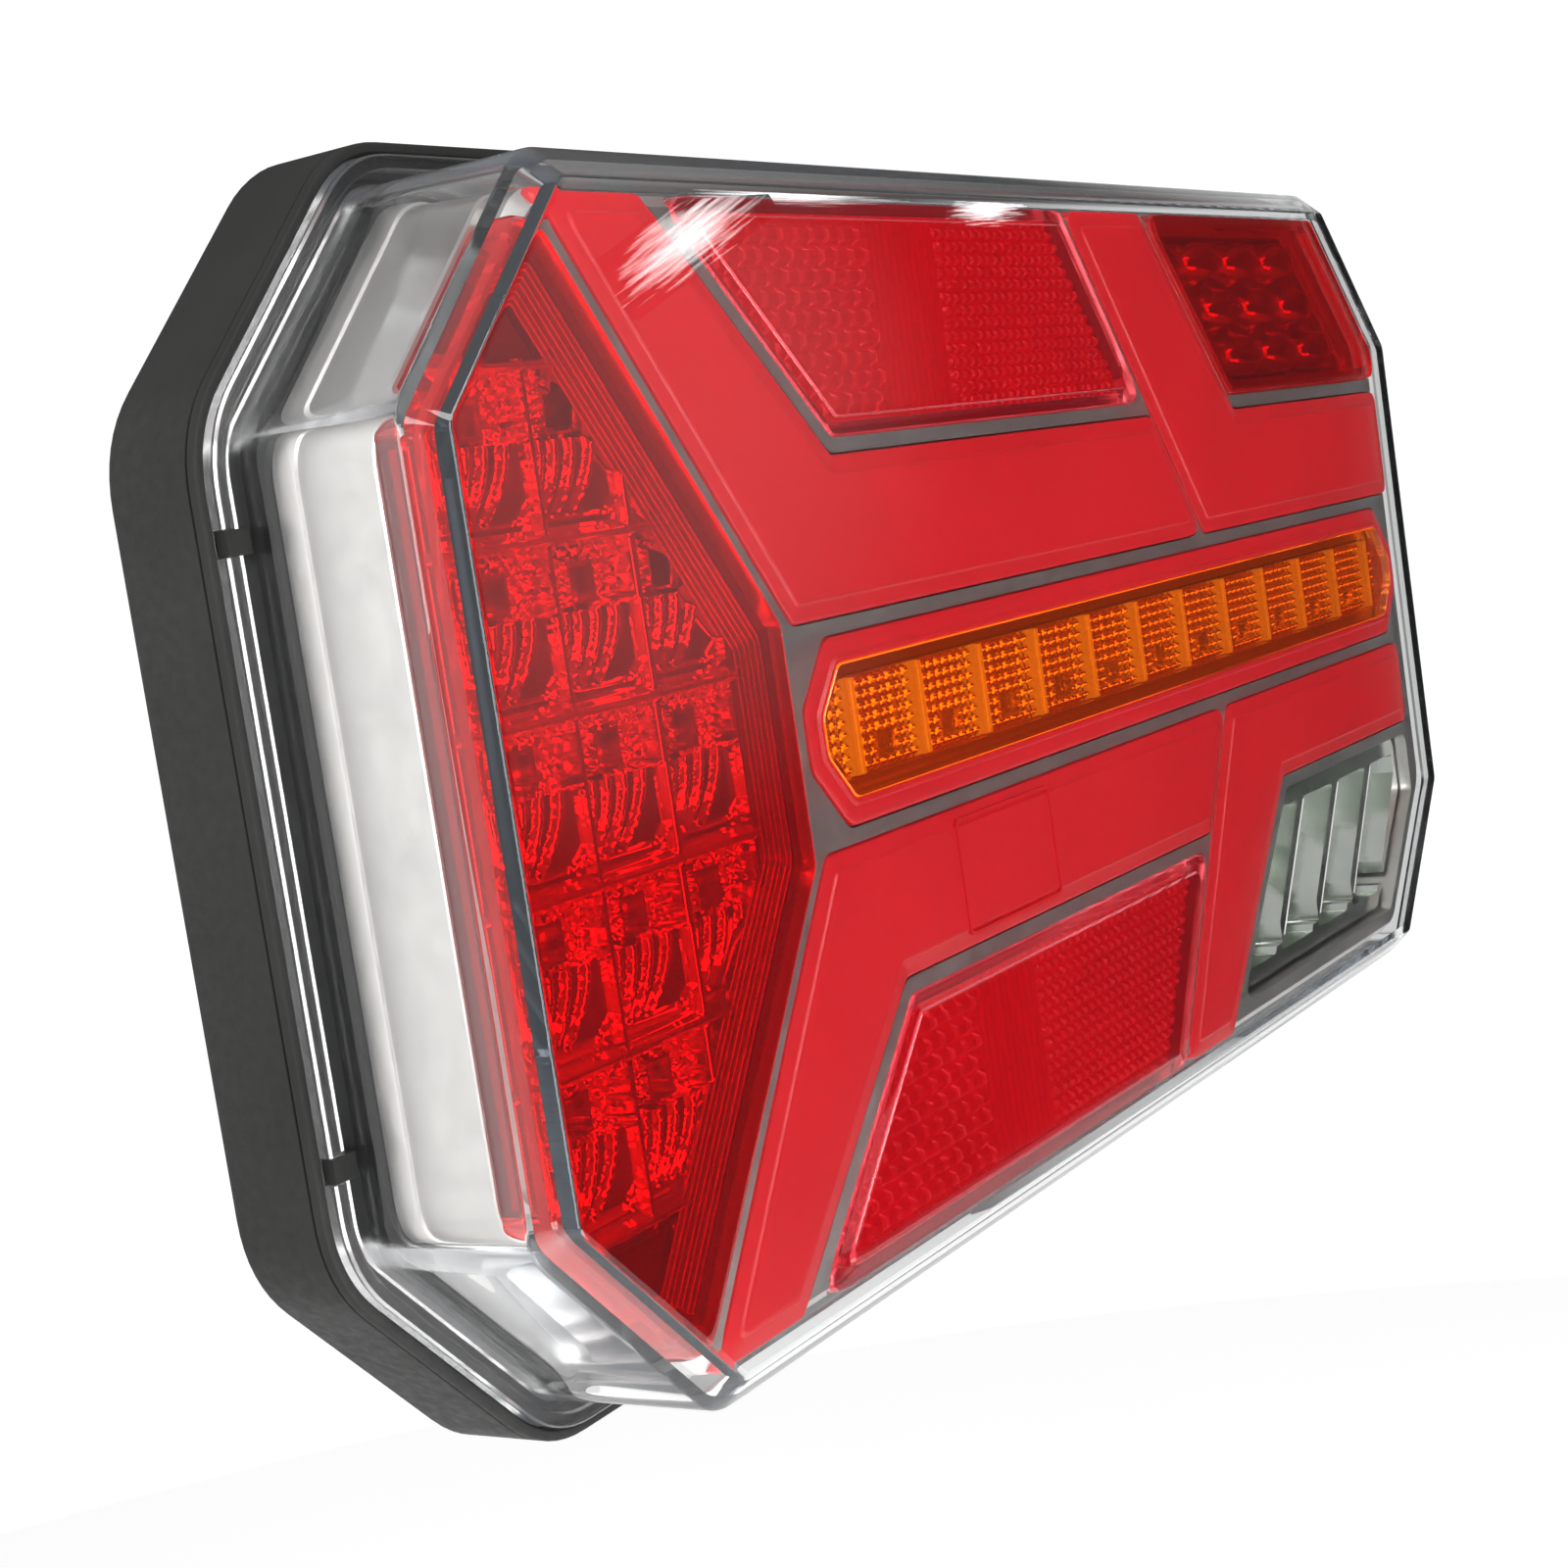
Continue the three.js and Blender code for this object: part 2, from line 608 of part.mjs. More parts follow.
function buildVentPlug() {
  const seat = FLOOR_TOP + GAP;
  const stem = disc(0, 0, VENT_RADIUS, VENT_SINK, seat + SHARED);
  const flange = disc(0, 0, VENT_RADIUS + FLANGE_REACH, seat, seat + FLANGE_THICKNESS);
  return stem.add(flange);
}

// --- materials ----------------------------------------------------------------------------------

function blackPlastic() {
  return new THREE.MeshStandardMaterial({ color: 0x2a2a2a, roughness: 0.55, metalness: 0 });
}

function clearPlastic() {
  return new THREE.MeshStandardMaterial({
    color: 0xe9eef0, roughness: 0.05, metalness: 0, transparent: true, opacity: 0.35,
  });
}

function redPlastic() {
  return new THREE.MeshStandardMaterial({ color: 0xc40a12, roughness: 0.1, metalness: 0 });
}

function satinRedPlastic() {
  return new THREE.MeshStandardMaterial({ color: 0xd2141f, roughness: 0.4, metalness: 0 });
}

function amberPlastic() {
  return new THREE.MeshStandardMaterial({ color: 0xe8650a, roughness: 0.1, metalness: 0 });
}

function metallisedPlastic() {
  return new THREE.MeshStandardMaterial({ color: 0xb9bcc0, roughness: 0.12, metalness: 1 });
}

function boardMaterial() {
  return new THREE.MeshStandardMaterial({ color: 0xe4e6e0, roughness: 0.5, metalness: 0 });
}

function zincSteel() {
  return new THREE.MeshStandardMaterial({ color: 0x9a9ea3, roughness: 0.35, metalness: 1 });
}

function blackRubber() {
  return new THREE.MeshStandardMaterial({ color: 0x141414, roughness: 0.8, metalness: 0 });
}

// --- assembly -----------------------------------------------------------------------------------

const group = new THREE.Group();
group.name = 'trailer_tail_light';
group.rotation.x = Math.PI / 2;

function addPart(parent, name, body, material, x = 0, y = 0, z = 0) {
  const mesh = new THREE.Mesh(toGeometry(body), material);
  mesh.name = name;
  mesh.position.set(x, y, z);
  parent.add(mesh);
}

function subAssembly(name) {
  const assembly = new THREE.Group();
  assembly.name = name;
  group.add(assembly);
  return assembly;
}

const shellGroup = subAssembly('shell_group');
addPart(shellGroup, 'housing', buildHousing(), blackPlastic());
addPart(shellGroup, 'lens_seal', buildSeal(), blackRubber());
addPart(shellGroup, 'outer_lens', buildCover(), clearPlastic());

const opticsGroup = subAssembly('optics_group');
addPart(opticsGroup, 'bezel_frame', buildBezel(), metallisedPlastic());
addPart(opticsGroup, 'tail_lens', buildInnerLens(TAIL_REGION), redPlastic());
addPart(opticsGroup, 'upper_light_guide', buildInnerLens(UPPER_GUIDE_REGION), satinRedPlastic());
addPart(opticsGroup, 'upper_right_guide', buildInnerLens(UPPER_ARM_REGION), satinRedPlastic());
addPart(opticsGroup, 'lower_light_guide', buildInnerLens(LOWER_GUIDE_REGION), satinRedPlastic());
addPart(opticsGroup, 'lower_right_guide', buildInnerLens(LOWER_ARM_REGION), satinRedPlastic());
addPart(opticsGroup, 'upper_reflex', buildInnerLens(UPPER_REFLEX_REGION), redPlastic());
addPart(opticsGroup, 'lower_reflex', buildInnerLens(LOWER_REFLEX_REGION), redPlastic());
addPart(opticsGroup, 'fog_lens', buildInnerLens(FOG_REGION), redPlastic());
addPart(opticsGroup, 'indicator_lens', buildInnerLens(INDICATOR_REGION), amberPlastic());
addPart(opticsGroup, 'tail_reflector', buildTailReflector(), metallisedPlastic());
addPart(opticsGroup, 'indicator_reflector', buildIndicatorReflector(), metallisedPlastic());
addPart(opticsGroup, 'fog_reflector', buildFogReflector(), metallisedPlastic());
addPart(opticsGroup, 'reversing_reflector', buildReversingReflector(), metallisedPlastic());

const boardGroup = subAssembly('board_group');
for (const name of Object.keys(BOARDS)) {
  addPart(boardGroup, name, buildBoard(name), boardMaterial());
}
screwPositions().forEach(([x, y], i) => {
  const screw = buildScrew(
    SCREW_HEAD_RADIUS, SCREW_HEAD_HEIGHT, SCREW_SHANK_RADIUS, SCREW_SHANK_LENGTH, SCREW_SIDES,
  );
  const seat = BOARD_BOTTOM + BOARD_THICKNESS + GAP;
  addPart(boardGroup, `board_screw_${i + 1}`, screw, zincSteel(), x, y, seat);
});

const rearGroup = subAssembly('rear_group');
studPositions().forEach(([x, y], i) => {
  const reach = STUD_LENGTH + FLOOR_TOP + GAP;
  const stud = buildScrew(STUD_HEAD_RADIUS, STUD_HEAD_HEIGHT, STUD_RADIUS, reach, ROUND_SIDES);
  addPart(rearGroup, `mounting_stud_${i + 1}`, stud, zincSteel(), x, y, FLOOR_TOP + GAP);
});
addPart(rearGroup, 'cable_gland', buildGland(), blackRubber(), GLAND_X, GLAND_Y);
addPart(rearGroup, 'vent_plug', buildVentPlug(), blackRubber(), VENT_X, VENT_Y);

export default group;
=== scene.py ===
import math

import bmesh
import bpy
import numpy as np
from mathutils import Matrix, Vector


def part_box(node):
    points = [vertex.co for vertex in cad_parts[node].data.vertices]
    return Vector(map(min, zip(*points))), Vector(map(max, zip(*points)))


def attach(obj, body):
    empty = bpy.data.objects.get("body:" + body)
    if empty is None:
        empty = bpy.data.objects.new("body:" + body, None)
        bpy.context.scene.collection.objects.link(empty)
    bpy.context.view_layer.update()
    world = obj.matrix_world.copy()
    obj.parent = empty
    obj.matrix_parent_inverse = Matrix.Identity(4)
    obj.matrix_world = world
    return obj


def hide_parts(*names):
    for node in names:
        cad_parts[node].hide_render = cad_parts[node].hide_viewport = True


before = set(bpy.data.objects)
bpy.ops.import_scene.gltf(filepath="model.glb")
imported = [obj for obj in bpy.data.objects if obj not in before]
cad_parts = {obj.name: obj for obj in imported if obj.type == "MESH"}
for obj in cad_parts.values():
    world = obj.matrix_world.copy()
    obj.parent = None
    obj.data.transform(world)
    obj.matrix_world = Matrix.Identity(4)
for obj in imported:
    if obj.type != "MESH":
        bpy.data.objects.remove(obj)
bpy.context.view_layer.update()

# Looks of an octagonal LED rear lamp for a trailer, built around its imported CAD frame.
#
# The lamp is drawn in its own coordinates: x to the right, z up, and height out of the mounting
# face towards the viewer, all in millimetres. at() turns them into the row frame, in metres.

MM = 0.001
BODY = "root"


def heights(node):
    """Lowest and highest height of a CAD node above the mounting face, in mm."""
    low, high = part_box(node)
    return -high[1] / MM, -low[1] / MM


# --- sizes, in mm -------------------------------------------------------------------------------

HALF_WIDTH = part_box("housing")[1][0] / MM
HALF_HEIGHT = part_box("housing")[1][2] / MM
CHAMFER = 24
CORNER_RADIUS = 14
SMALLEST_RADIUS = 3
GAP = 0.15
# a region that runs on to these ends at the rim
FAR = 140
PAST_RIM = 57

FLOOR_TOP = 2.5
SHELF_HEIGHT = 6.6
RIM_HEIGHT = 10.2
COLLAR_TOP = heights("housing")[1]
FLANGE_BOTTOM, FRONT = heights("outer_lens")
LIP_TOP = 11.2
FLANGE_TOP = 9.9
BEVEL_WIDTH = 3.15
BEVEL_DEPTH = 3.3
COVER_INSET = 4.05
COVER_THICKNESS = 2.5
COVER_SIDE_RADIUS = 7
COVER_FRONT_RADIUS = 1.6
FACE_THICKNESS = 2.8
RIM_THICKNESS = 1.1
LIP_INSET = RIM_THICKNESS + GAP
LIP_THICKNESS = 1.5
COLLAR_INSET = 6.85
COLLAR_THICKNESS = 1.6
NOTCH_Z = 26.5
NOTCH_WIDTH = 2.4
TAB_SLACK = 0.1
TAB_REACH = 1.4

RECESS = 0.9
# middle x and z, half width and half height
REAR_PANELS = [(-58, 31, 41, 18), (58, 31, 41, 18), (-71, -31, 28, 18), (71, -31, 28, 18)]
STUDS = [(-76, 0), (76, 0)]
STUD_RADIUS = 2.5
GLAND = (20, -30)
VENT = (-20, -30)
# x, z and radius
REAR_BORES = [(x, z, STUD_RADIUS + 0.2) for x, z in STUDS] + [(*VENT, 4)]

BEZEL_BOTTOM, BEZEL_TOP = heights("bezel_frame")
BEZEL_INSET = 7.3
BEZEL_WALL = 1.6
PLATE_BOTTOM = 20
PLATE_TOP = 21.6
WALL_TOP = 23.5
LENS_BOTTOM, LENS_TOP = heights("tail_lens")
LENS_INSET = 7.8
LENS_WALL = 1.6
LENS_SKIN = 2
UNDER_SKIN = LENS_TOP - LENS_SKIN
OPENING_INSET = 2.0
WINDOW_RADIUS = 2.2

TAIL = [
    (-FAR, -PAST_RIM), (-99.4, -PAST_RIM), (-65.2, -11.8),
    (-65.2, 11.8), (-99.4, PAST_RIM), (-FAR, PAST_RIM),
]
UPPER_GUIDE = [
    (-62.9, 11.3), (39.5, 11.3), (28, 27.2), (-51.1, 27.2), (-83, PAST_RIM), (-97.4, PAST_RIM),
]
UPPER_REFLEX = [(-50.3, 29), (26.2, 29), (5.9, PAST_RIM), (-80.3, PAST_RIM)]
UPPER_ARM = [
    (40.1, 11.3), (FAR, 11.3), (FAR, 26.8), (55.4, 26.8), (27.9, PAST_RIM), (6.6, PAST_RIM),
]
FOG = [(54.2, 28.8), (FAR, 28.8), (FAR, PAST_RIM), (28.5, PAST_RIM)]
INDICATOR = [
    (-63.2, -3), (-57.5, -9.5), (105, -9.5), (110.8, -3),
    (110.8, 3), (105, 9.5), (-57.5, 9.5), (-63.2, 3),
]
LOWER_GUIDE = [
    (-97.4, -PAST_RIM), (-83.6, -PAST_RIM), (-51.1, -26.3),
    (29.7, -26.3), (39.5, -11.3), (-62.9, -11.3),
]
LOWER_REFLEX = [(-80.3, -PAST_RIM), (9.5, -PAST_RIM), (28.2, -28.2), (-50.3, -28.2)]
LOWER_ARM = [
    (10.2, -PAST_RIM), (24, -PAST_RIM), (56.4, -23.4), (108.6, -23.4), (108.6, -11.3), (40.1, -11.3),
]
REVERSING = [(33, -49.6), (57.3, -25.2), (107.6, -25.2), (107.6, -34), (92, -49.6)]
# x from and to, z from and to
LABEL = (-37.5, -15, -25.0, -12.4)


# --- outlines in the lamp's face ----------------------------------------------------------------

def at(x, z, height):
    """A point in lamp coordinates as a place in the row frame."""
    return (x * MM, -height * MM, z * MM)


def shrink(points, distance):
    """The polygon with every edge moved inwards by that distance."""
    count = len(points)
    pairs = [(points[i], points[(i + 1) % count]) for i in range(count)]
    area = sum(a[0] * b[1] - b[0] * a[1] for a, b in pairs)
    side = -distance if area > 0 else distance
    edges = []
    for (ax, az), (bx, bz) in pairs:
        length = math.hypot(bx - ax, bz - az)
        dx, dz = (bx - ax) / length, (bz - az) / length
        edges.append((ax + dz * side, az - dx * side, dx, dz))
    corners = []
    for i, (x, z, dx, dz) in enumerate(edges):
        px, pz, pdx, pdz = edges[i - 1]
        along = ((x - px) * dz - (z - pz) * dx) / (pdx * dz - pdz * dx)
        corners.append((px + pdx * along, pz + pdz * along))
    return corners


def octagon(inset):
    """The lamp's outline with sharp corners, moved inwards."""
    w, h, c = HALF_WIDTH, HALF_HEIGHT, CHAMFER
    corners = [
        (w, -h + c), (w, h - c), (w - c, h), (-w + c, h),
        (-w, h - c), (-w, -h + c), (-w + c, -h), (w - c, -h),
    ]
    return shrink(corners, inset)


def clip(points, fence):
    """The part of a polygon inside a convex one that runs anticlockwise."""
    kept = list(points)
    for i, (ax, az) in enumerate(fence):
        bx, bz = fence[(i + 1) % len(fence)]

        def inside(p):
            return (bx - ax) * (p[1] - az) - (bz - az) * (p[0] - ax)

        clipped = []
        for j, here in enumerate(kept):
            before = kept[j - 1]
            d0, d1 = inside(before), inside(here)
            if (d0 >= 0) != (d1 >= 0):
                t = d0 / (d0 - d1)
                clipped.append((
                    before[0] + (here[0] - before[0]) * t,
                    before[1] + (here[1] - before[1]) * t,
                ))
            if d1 >= 0:
                clipped.append(here)
        kept = clipped
    return kept


def without_stubs(points, shortest=3.0):
    """The polygon with each very short edge left out and its neighbours run on until they meet."""
    kept = list(points)
    i = 0
    while i < len(kept):
        count = len(kept)
        a, b = Vector(kept[i]), Vector(kept[(i + 1) % count])
        if (b - a).length < shortest:
            before = a - Vector(kept[i - 1])
            after = Vector(kept[(i + 2) % count]) - b
            along = (b - a).cross(after) / before.cross(after)
            kept[i] = tuple(a + before * along)
            kept.pop((i + 1) % count)
        i += 1
    return kept


def rounded(points, radius, steps=4):
    """The polygon with its corners rounded, with the same number of points at any radius."""
    result = []
    count = len(points)
    for i, corner in enumerate(points):
        here = Vector(corner)
        before = Vector(points[i - 1]) - here
        after = Vector(points[(i + 1) % count]) - here
        room = 0.49 * min(before.length, after.length)
        reach = min(radius / math.tan(before.angle(after) / 2), room)
        start = here + before.normalized() * reach
        end = here + after.normalized() * reach
        for k in range(steps + 1):
            t = k / steps
            point = (1 - t) ** 2 * start + 2 * t * (1 - t) * here + t * t * end
            result.append((point.x, point.y))
    return result


def rim_outline(inset):
    """The lamp's rounded outline, moved inwards."""
    radius = max(CORNER_RADIUS - inset, SMALLEST_RADIUS)
    return rounded(octagon(inset), radius, 8)


def cover_outline(inset):
    """Like the rim's outline at the flange, with tighter corners towards the front."""
    if inset < COVER_INSET - 0.5:
        return rim_outline(inset)
    share = min(max(inset - COVER_INSET, 0) / BEVEL_WIDTH, 1)
    radius = COVER_SIDE_RADIUS + (COVER_FRONT_RADIUS - COVER_SIDE_RADIUS) * share
    return rounded(octagon(inset), radius, 8)


def clear_of_rim(region):
    """A window's corners once it is clipped to the bezel's rim."""
    return without_stubs(clip(region, octagon(LENS_INSET)))


def window(region, inset, radius=WINDOW_RADIUS):
    """The outline of a window, clipped to the bezel's rim and then moved inwards."""
    shape = shrink(clear_of_rim(region), inset)
    return rounded(shape, max(radius - 0.5 * inset, 0.4))


# --- meshes -------------------------------------------------------------------------------------

def ring(outline, height):
    """An outline at one height, in the row frame."""
    return [at(x, z, height) for x, z in outline]


def loft(rings):
    """A closed body through rings of equal length, with a flat face at each end."""
    count = len(rings[0])
    verts = [p for points in rings for p in points]
    faces = []
    for r in range(len(rings) - 1):
        for i in range(count):
            a = r * count + i
            b = r * count + (i + 1) % count
            faces.append((a, b, b + count, a + count))
    faces.append(tuple(range(count)))
    faces.append(tuple(range(len(verts) - count, len(verts))))
    return verts, faces


def closed_ring(rings):
    """A closed frame whose cross-section runs through rings of equal length."""
    count = len(rings[0])
    verts = [p for points in rings for p in points]
    faces = []
    for r in range(len(rings)):
        here = r * count
        there = (r + 1) % len(rings) * count
        for i in range(count):
            j = (i + 1) % count
            faces.append((here + i, here + j, there + j, there + i))
    return verts, faces


def slab(outline, bottom, top):
    return loft([ring(outline, bottom), ring(outline, top)])


def stepped(outline_at, profile):
    """A closed body whose wall follows (inset, height) pairs round one outline."""
    return loft([ring(outline_at(inset), height) for inset, height in profile])


def turned(x, z, profile, sides=32):
    """A closed body turned about an axis out of the face, from (radius, height) pairs."""
    rings = []
    for radius, height in profile:
        angles = [2 * math.pi * k / sides for k in range(sides)]
        rings.append([
            at(x + radius * math.cos(a), z + radius * math.sin(a), height) for a in angles
        ])
    return loft(rings)


def block(x0, x1, z0, z1, bottom, top):
    return slab([(x0, z0), (x1, z0), (x1, z1), (x0, z1)], bottom, top)


def build(name, parts):
    """A new object from closed bodies, with its faces pointing out."""
    bm = bmesh.new()
    for verts, faces in parts:
        made = [bm.verts.new(v) for v in verts]
        for face in faces:
            bm.faces.new([made[i] for i in face])
    bmesh.ops.recalc_face_normals(bm, faces=bm.faces)
    mesh = bpy.data.meshes.new(name)
    bm.to_mesh(mesh)
    bm.free()
    obj = bpy.data.objects.new(name, mesh)
    bpy.context.scene.collection.objects.link(obj)
    return obj


def carve(body, parts, operation="DIFFERENCE"):
    """Cuts closed bodies out of an object, or keeps only what is inside them."""
    cutter = build("cutter", parts)
    cut = body.modifiers.new("cut", "BOOLEAN")
    cut.object = cutter
    cut.operation = operation
    cut.solver = "EXACT"
    graph = bpy.context.evaluated_depsgraph_get()
    result = bpy.data.meshes.new_from_object(body.evaluated_get(graph))
    body.modifiers.clear()
    body.data = result
    bpy.data.objects.remove(cutter)
    return body


def finish_piece(obj, material, nodes=(), angle=32):
    """Smooths an object, gives it its material and ties it to the CAD frame."""
    obj.data.materials.clear()
    obj.data.materials.append(material)
    obj.data.shade_smooth()
    obj.data.set_sharp_from_angle(angle=math.radians(angle))
    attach(obj, BODY)
    if nodes:
        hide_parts(*nodes)


def soften_edges(obj, width):
    """A small bevel on every sharp edge."""
    bevel = obj.modifiers.new("soft_edges", "BEVEL")
    bevel.width = width * MM
    bevel.segments = 2
    bevel.limit_method = "ANGLE"
    bevel.angle_limit = math.radians(35)
    bevel.harden_normals = True


def relief(name, outline, bottom, step, height_at):
    """A closed body over an outline whose top follows a height map."""
    xs = [x for x, z in outline]
    zs = [z for x, z in outline]
    margin = 0.5
    columns = math.ceil((max(xs) - min(xs) + 2 * margin) / step) + 1
    rows = math.ceil((max(zs) - min(zs) + 2 * margin) / step) + 1
    x = min(xs) - margin + step * np.arange(columns)
    z = min(zs) - margin + step * np.arange(rows)
    grid_x, grid_z = np.meshgrid(x, z)
    grid = (grid_x.ravel(), grid_z.ravel(), height_at(grid_x, grid_z).ravel())
    verts = [at(*point) for point in zip(*grid)]
    faces = []
    for r in range(rows - 1):
        for c in range(columns - 1):
            a = r * columns + c
            faces.append((a, a + 1, a + 1 + columns, a + columns))
    edge = list(range(columns))
    edge += [r * columns + columns - 1 for r in range(1, rows)]
    edge += [(rows - 1) * columns + c for c in range(columns - 2, -1, -1)]
    edge += [r * columns for r in range(rows - 2, 0, -1)]
    below = len(verts)
    verts += [at(grid[0][a], grid[1][a], bottom) for a in sorted(edge)]
    foot = {a: below + i for i, a in enumerate(sorted(edge))}
    for i, a in enumerate(edge):
        b = edge[(i + 1) % len(edge)]
        faces.append((a, b, foot[b], foot[a]))
    faces.append(tuple(foot[a] for a in edge))
    body = build(name, [(verts, faces)])
    return carve(body, [slab(outline, bottom - 1, FRONT + 5)], "INTERSECT")


# --- materials ----------------------------------------------------------------------------------

def new_material(name, **values):
    """A Principled material; the values are its sockets, with _ for a space."""
    material = bpy.data.materials.new(name)
    material.use_nodes = True
    nodes = material.node_tree.nodes
    shader = nodes["Principled BSDF"]
    for key, value in values.items():
        shader.inputs[key.replace("_", " ")].default_value = value
    return material, material.node_tree, shader


def place(tree):
    """Object coordinates, in metres; a piece's object sits at the origin."""
    return tree.nodes.new("ShaderNodeTexCoord").outputs["Object"]


def noise(tree, scale, detail=4.0, stretch=None):
    """Noise at so many cells to the metre, which can be squeezed along the axes."""
    node = tree.nodes.new("ShaderNodeTexNoise")
    node.inputs["Scale"].default_value = scale
    node.inputs["Detail"].default_value = detail
    source = place(tree)
    if stretch:
        mapping = tree.nodes.new("ShaderNodeMapping")
        mapping.inputs["Scale"].default_value = stretch
        tree.links.new(source, mapping.inputs["Vector"])
        source = mapping.outputs["Vector"]
    tree.links.new(source, node.inputs["Vector"])
    return node.outputs["Fac"]


def between(tree, factor, low, high, start=0.3, end=0.7):
    """A value that goes from low to high while the factor goes from start to end."""
    node = tree.nodes.new("ShaderNodeMapRange")
    node.inputs["From Min"].default_value = start
    node.inputs["From Max"].default_value = end
    node.inputs["To Min"].default_value = low
    node.inputs["To Max"].default_value = high
    tree.links.new(factor, node.inputs["Value"])
    return node.outputs["Result"]


def blend_colours(tree, factor, dark, light):
    node = tree.nodes.new("ShaderNodeMix")
    node.data_type = "RGBA"
    tree.links.new(factor, node.inputs["Factor"])
    node.inputs["A"].default_value = (*dark, 1)
    node.inputs["B"].default_value = (*light, 1)
    return node.outputs["Result"]


def bump(tree, shader, factor, strength, distance):
    node = tree.nodes.new("ShaderNodeBump")
    node.inputs["Strength"].default_value = strength
    node.inputs["Distance"].default_value = distance
    tree.links.new(factor, node.inputs["Height"])
    tree.links.new(node.outputs["Normal"], shader.inputs["Normal"])


def black_plastic():
    material, tree, shader = new_material("black_plastic", Specular_IOR_Level=0.24)
    tone = between(tree, noise(tree, 60), 0, 1)
    colour = blend_colours(tree, tone, (0.011, 0.011, 0.0105), (0.017, 0.017, 0.0163))
    tree.links.new(colour, shader.inputs["Base Color"])
    tree.links.new(between(tree, noise(tree, 900), 0.5, 0.66), shader.inputs["Roughness"])
    bump(tree, shader, noise(tree, 3200, 2), 0.12, 0.0001)
    return material


def rubber():
    material, tree, shader = new_material("seal_rubber", Specular_IOR_Level=0.3)
    tone = between(tree, noise(tree, 250), 0, 1)
    colour = blend_colours(tree, tone, (0.008, 0.008, 0.008), (0.02, 0.02, 0.02))
    tree.links.new(colour, shader.inputs["Base Color"])
    tree.links.new(between(tree, noise(tree, 1500), 0.62, 0.85), shader.inputs["Roughness"])
    bump(tree, shader, noise(tree, 2600, 3), 0.2, 0.0001)
    return material


def acrylic(name, colour, rough_low, rough_high, clearness=1.0, painted_glow=0.0, painted_glow_colour=(1, 1, 1)):
    """Clear or tinted moulded acrylic, with faint flow marks in its polish.

    The last two values set a painted glow: a faint emission that stands in for the light scattered
    inside the plastic.
    """
    material, tree, shader = new_material(
        name, Transmission_Weight=clearness, IOR=1.49, Base_Color=(*colour, 1),
        Emission_Strength=painted_glow, Emission_Color=(*painted_glow_colour, 1),
    )
    material.cycles.emission_sampling = "NONE"
    flow = noise(tree, 40.0, 3, (1.0, 1.0, 0.35))
    tree.links.new(between(tree, flow, rough_low, rough_high), shader.inputs["Roughness"])
    return material


def satin_red():
    material, tree, shader = new_material("satin_red", Specular_IOR_Level=0.5)
    cloud = between(tree, noise(tree, 22, 3), 0, 1)
    colour = blend_colours(tree, cloud, (0.70, 0.006, 0.014), (0.80, 0.010, 0.018))
    tree.links.new(colour, shader.inputs["Base Color"])
    tree.links.new(between(tree, noise(tree, 700), 0.33, 0.36), shader.inputs["Roughness"])
    return material


def chrome(name, tint, rough_low, rough_high):
    material, tree, shader = new_material(name, Metallic=1.0)
    film = between(tree, noise(tree, 90), 0, 1)
    dark = tuple(0.9 * c for c in tint)
    tree.links.new(blend_colours(tree, film, dark, tint), shader.inputs["Base Color"])
    tree.links.new(between(tree, noise(tree, 400), rough_low, rough_high), shader.inputs["Roughness"])
    bump(tree, shader, noise(tree, 500, 2), 0.04, 0.0001)
    return material


def board_material():
    """White solder resist, with yellow LED packages standing above the board."""
    material, tree, shader = new_material("led_board")
    split = tree.nodes.new("ShaderNodeSeparateXYZ")
    tree.links.new(place(tree), split.inputs["Vector"])
    board_top = -7.0 * MM
    raised = between(tree, split.outputs["Y"], 0, 1, board_top, board_top - 0.1 * MM)
    speckle = between(tree, noise(tree, 500), 0, 1)
    resist = blend_colours(tree, speckle, (0.62, 0.63, 0.6), (0.75, 0.76, 0.72))
    mix = tree.nodes.new("ShaderNodeMix")
    mix.data_type = "RGBA"
    tree.links.new(raised, mix.inputs["Factor"])
    tree.links.new(resist, mix.inputs["A"])
    mix.inputs["B"].default_value = (0.85, 0.62, 0.08, 1)
    tree.links.new(mix.outputs["Result"], shader.inputs["Base Color"])
    tree.links.new(between(tree, noise(tree, 300), 0.3, 0.5), shader.inputs["Roughness"])
    return material


def white_plastic(name, glow, glow_colour):
    """Pale moulded plastic with a painted glow: in the indicator bars it stands in for light guided
    inside them, and on the reversing fins it paints them brighter than the lighting does.
    """
    material, tree, shader = new_material(
        name, Emission_Strength=glow, Emission_Color=(*glow_colour, 1),
    )
    material.cycles.emission_sampling = "NONE"
    cloud = between(tree, noise(tree, 120, 3), 0, 1)
    colour = blend_colours(tree, cloud, (0.7, 0.7, 0.68), (0.86, 0.86, 0.84))
    tree.links.new(colour, shader.inputs["Base Color"])
    tree.links.new(between(tree, noise(tree, 600), 0.25, 0.4), shader.inputs["Roughness"])
    return material


def prism_red():
    """The red backs of the reflex prisms, with a painted red glow that stands in for the light they
    throw back.
    """
    material, tree, shader = new_material(
        "prism_red", Specular_IOR_Level=0.8,
        Emission_Strength=0.15, Emission_Color=(1, 0.008, 0.04, 1),
    )
    material.cycles.emission_sampling = "NONE"
    cloud = between(tree, noise(tree, 60, 3), 0, 1)
    colour = blend_colours(tree, cloud, (0.76, 0.008, 0.03), (0.92, 0.012, 0.05))
    tree.links.new(colour, shader.inputs["Base Color"])
    tree.links.new(between(tree, noise(tree, 500), 0.12, 0.18), shader.inputs["Roughness"])
    return material


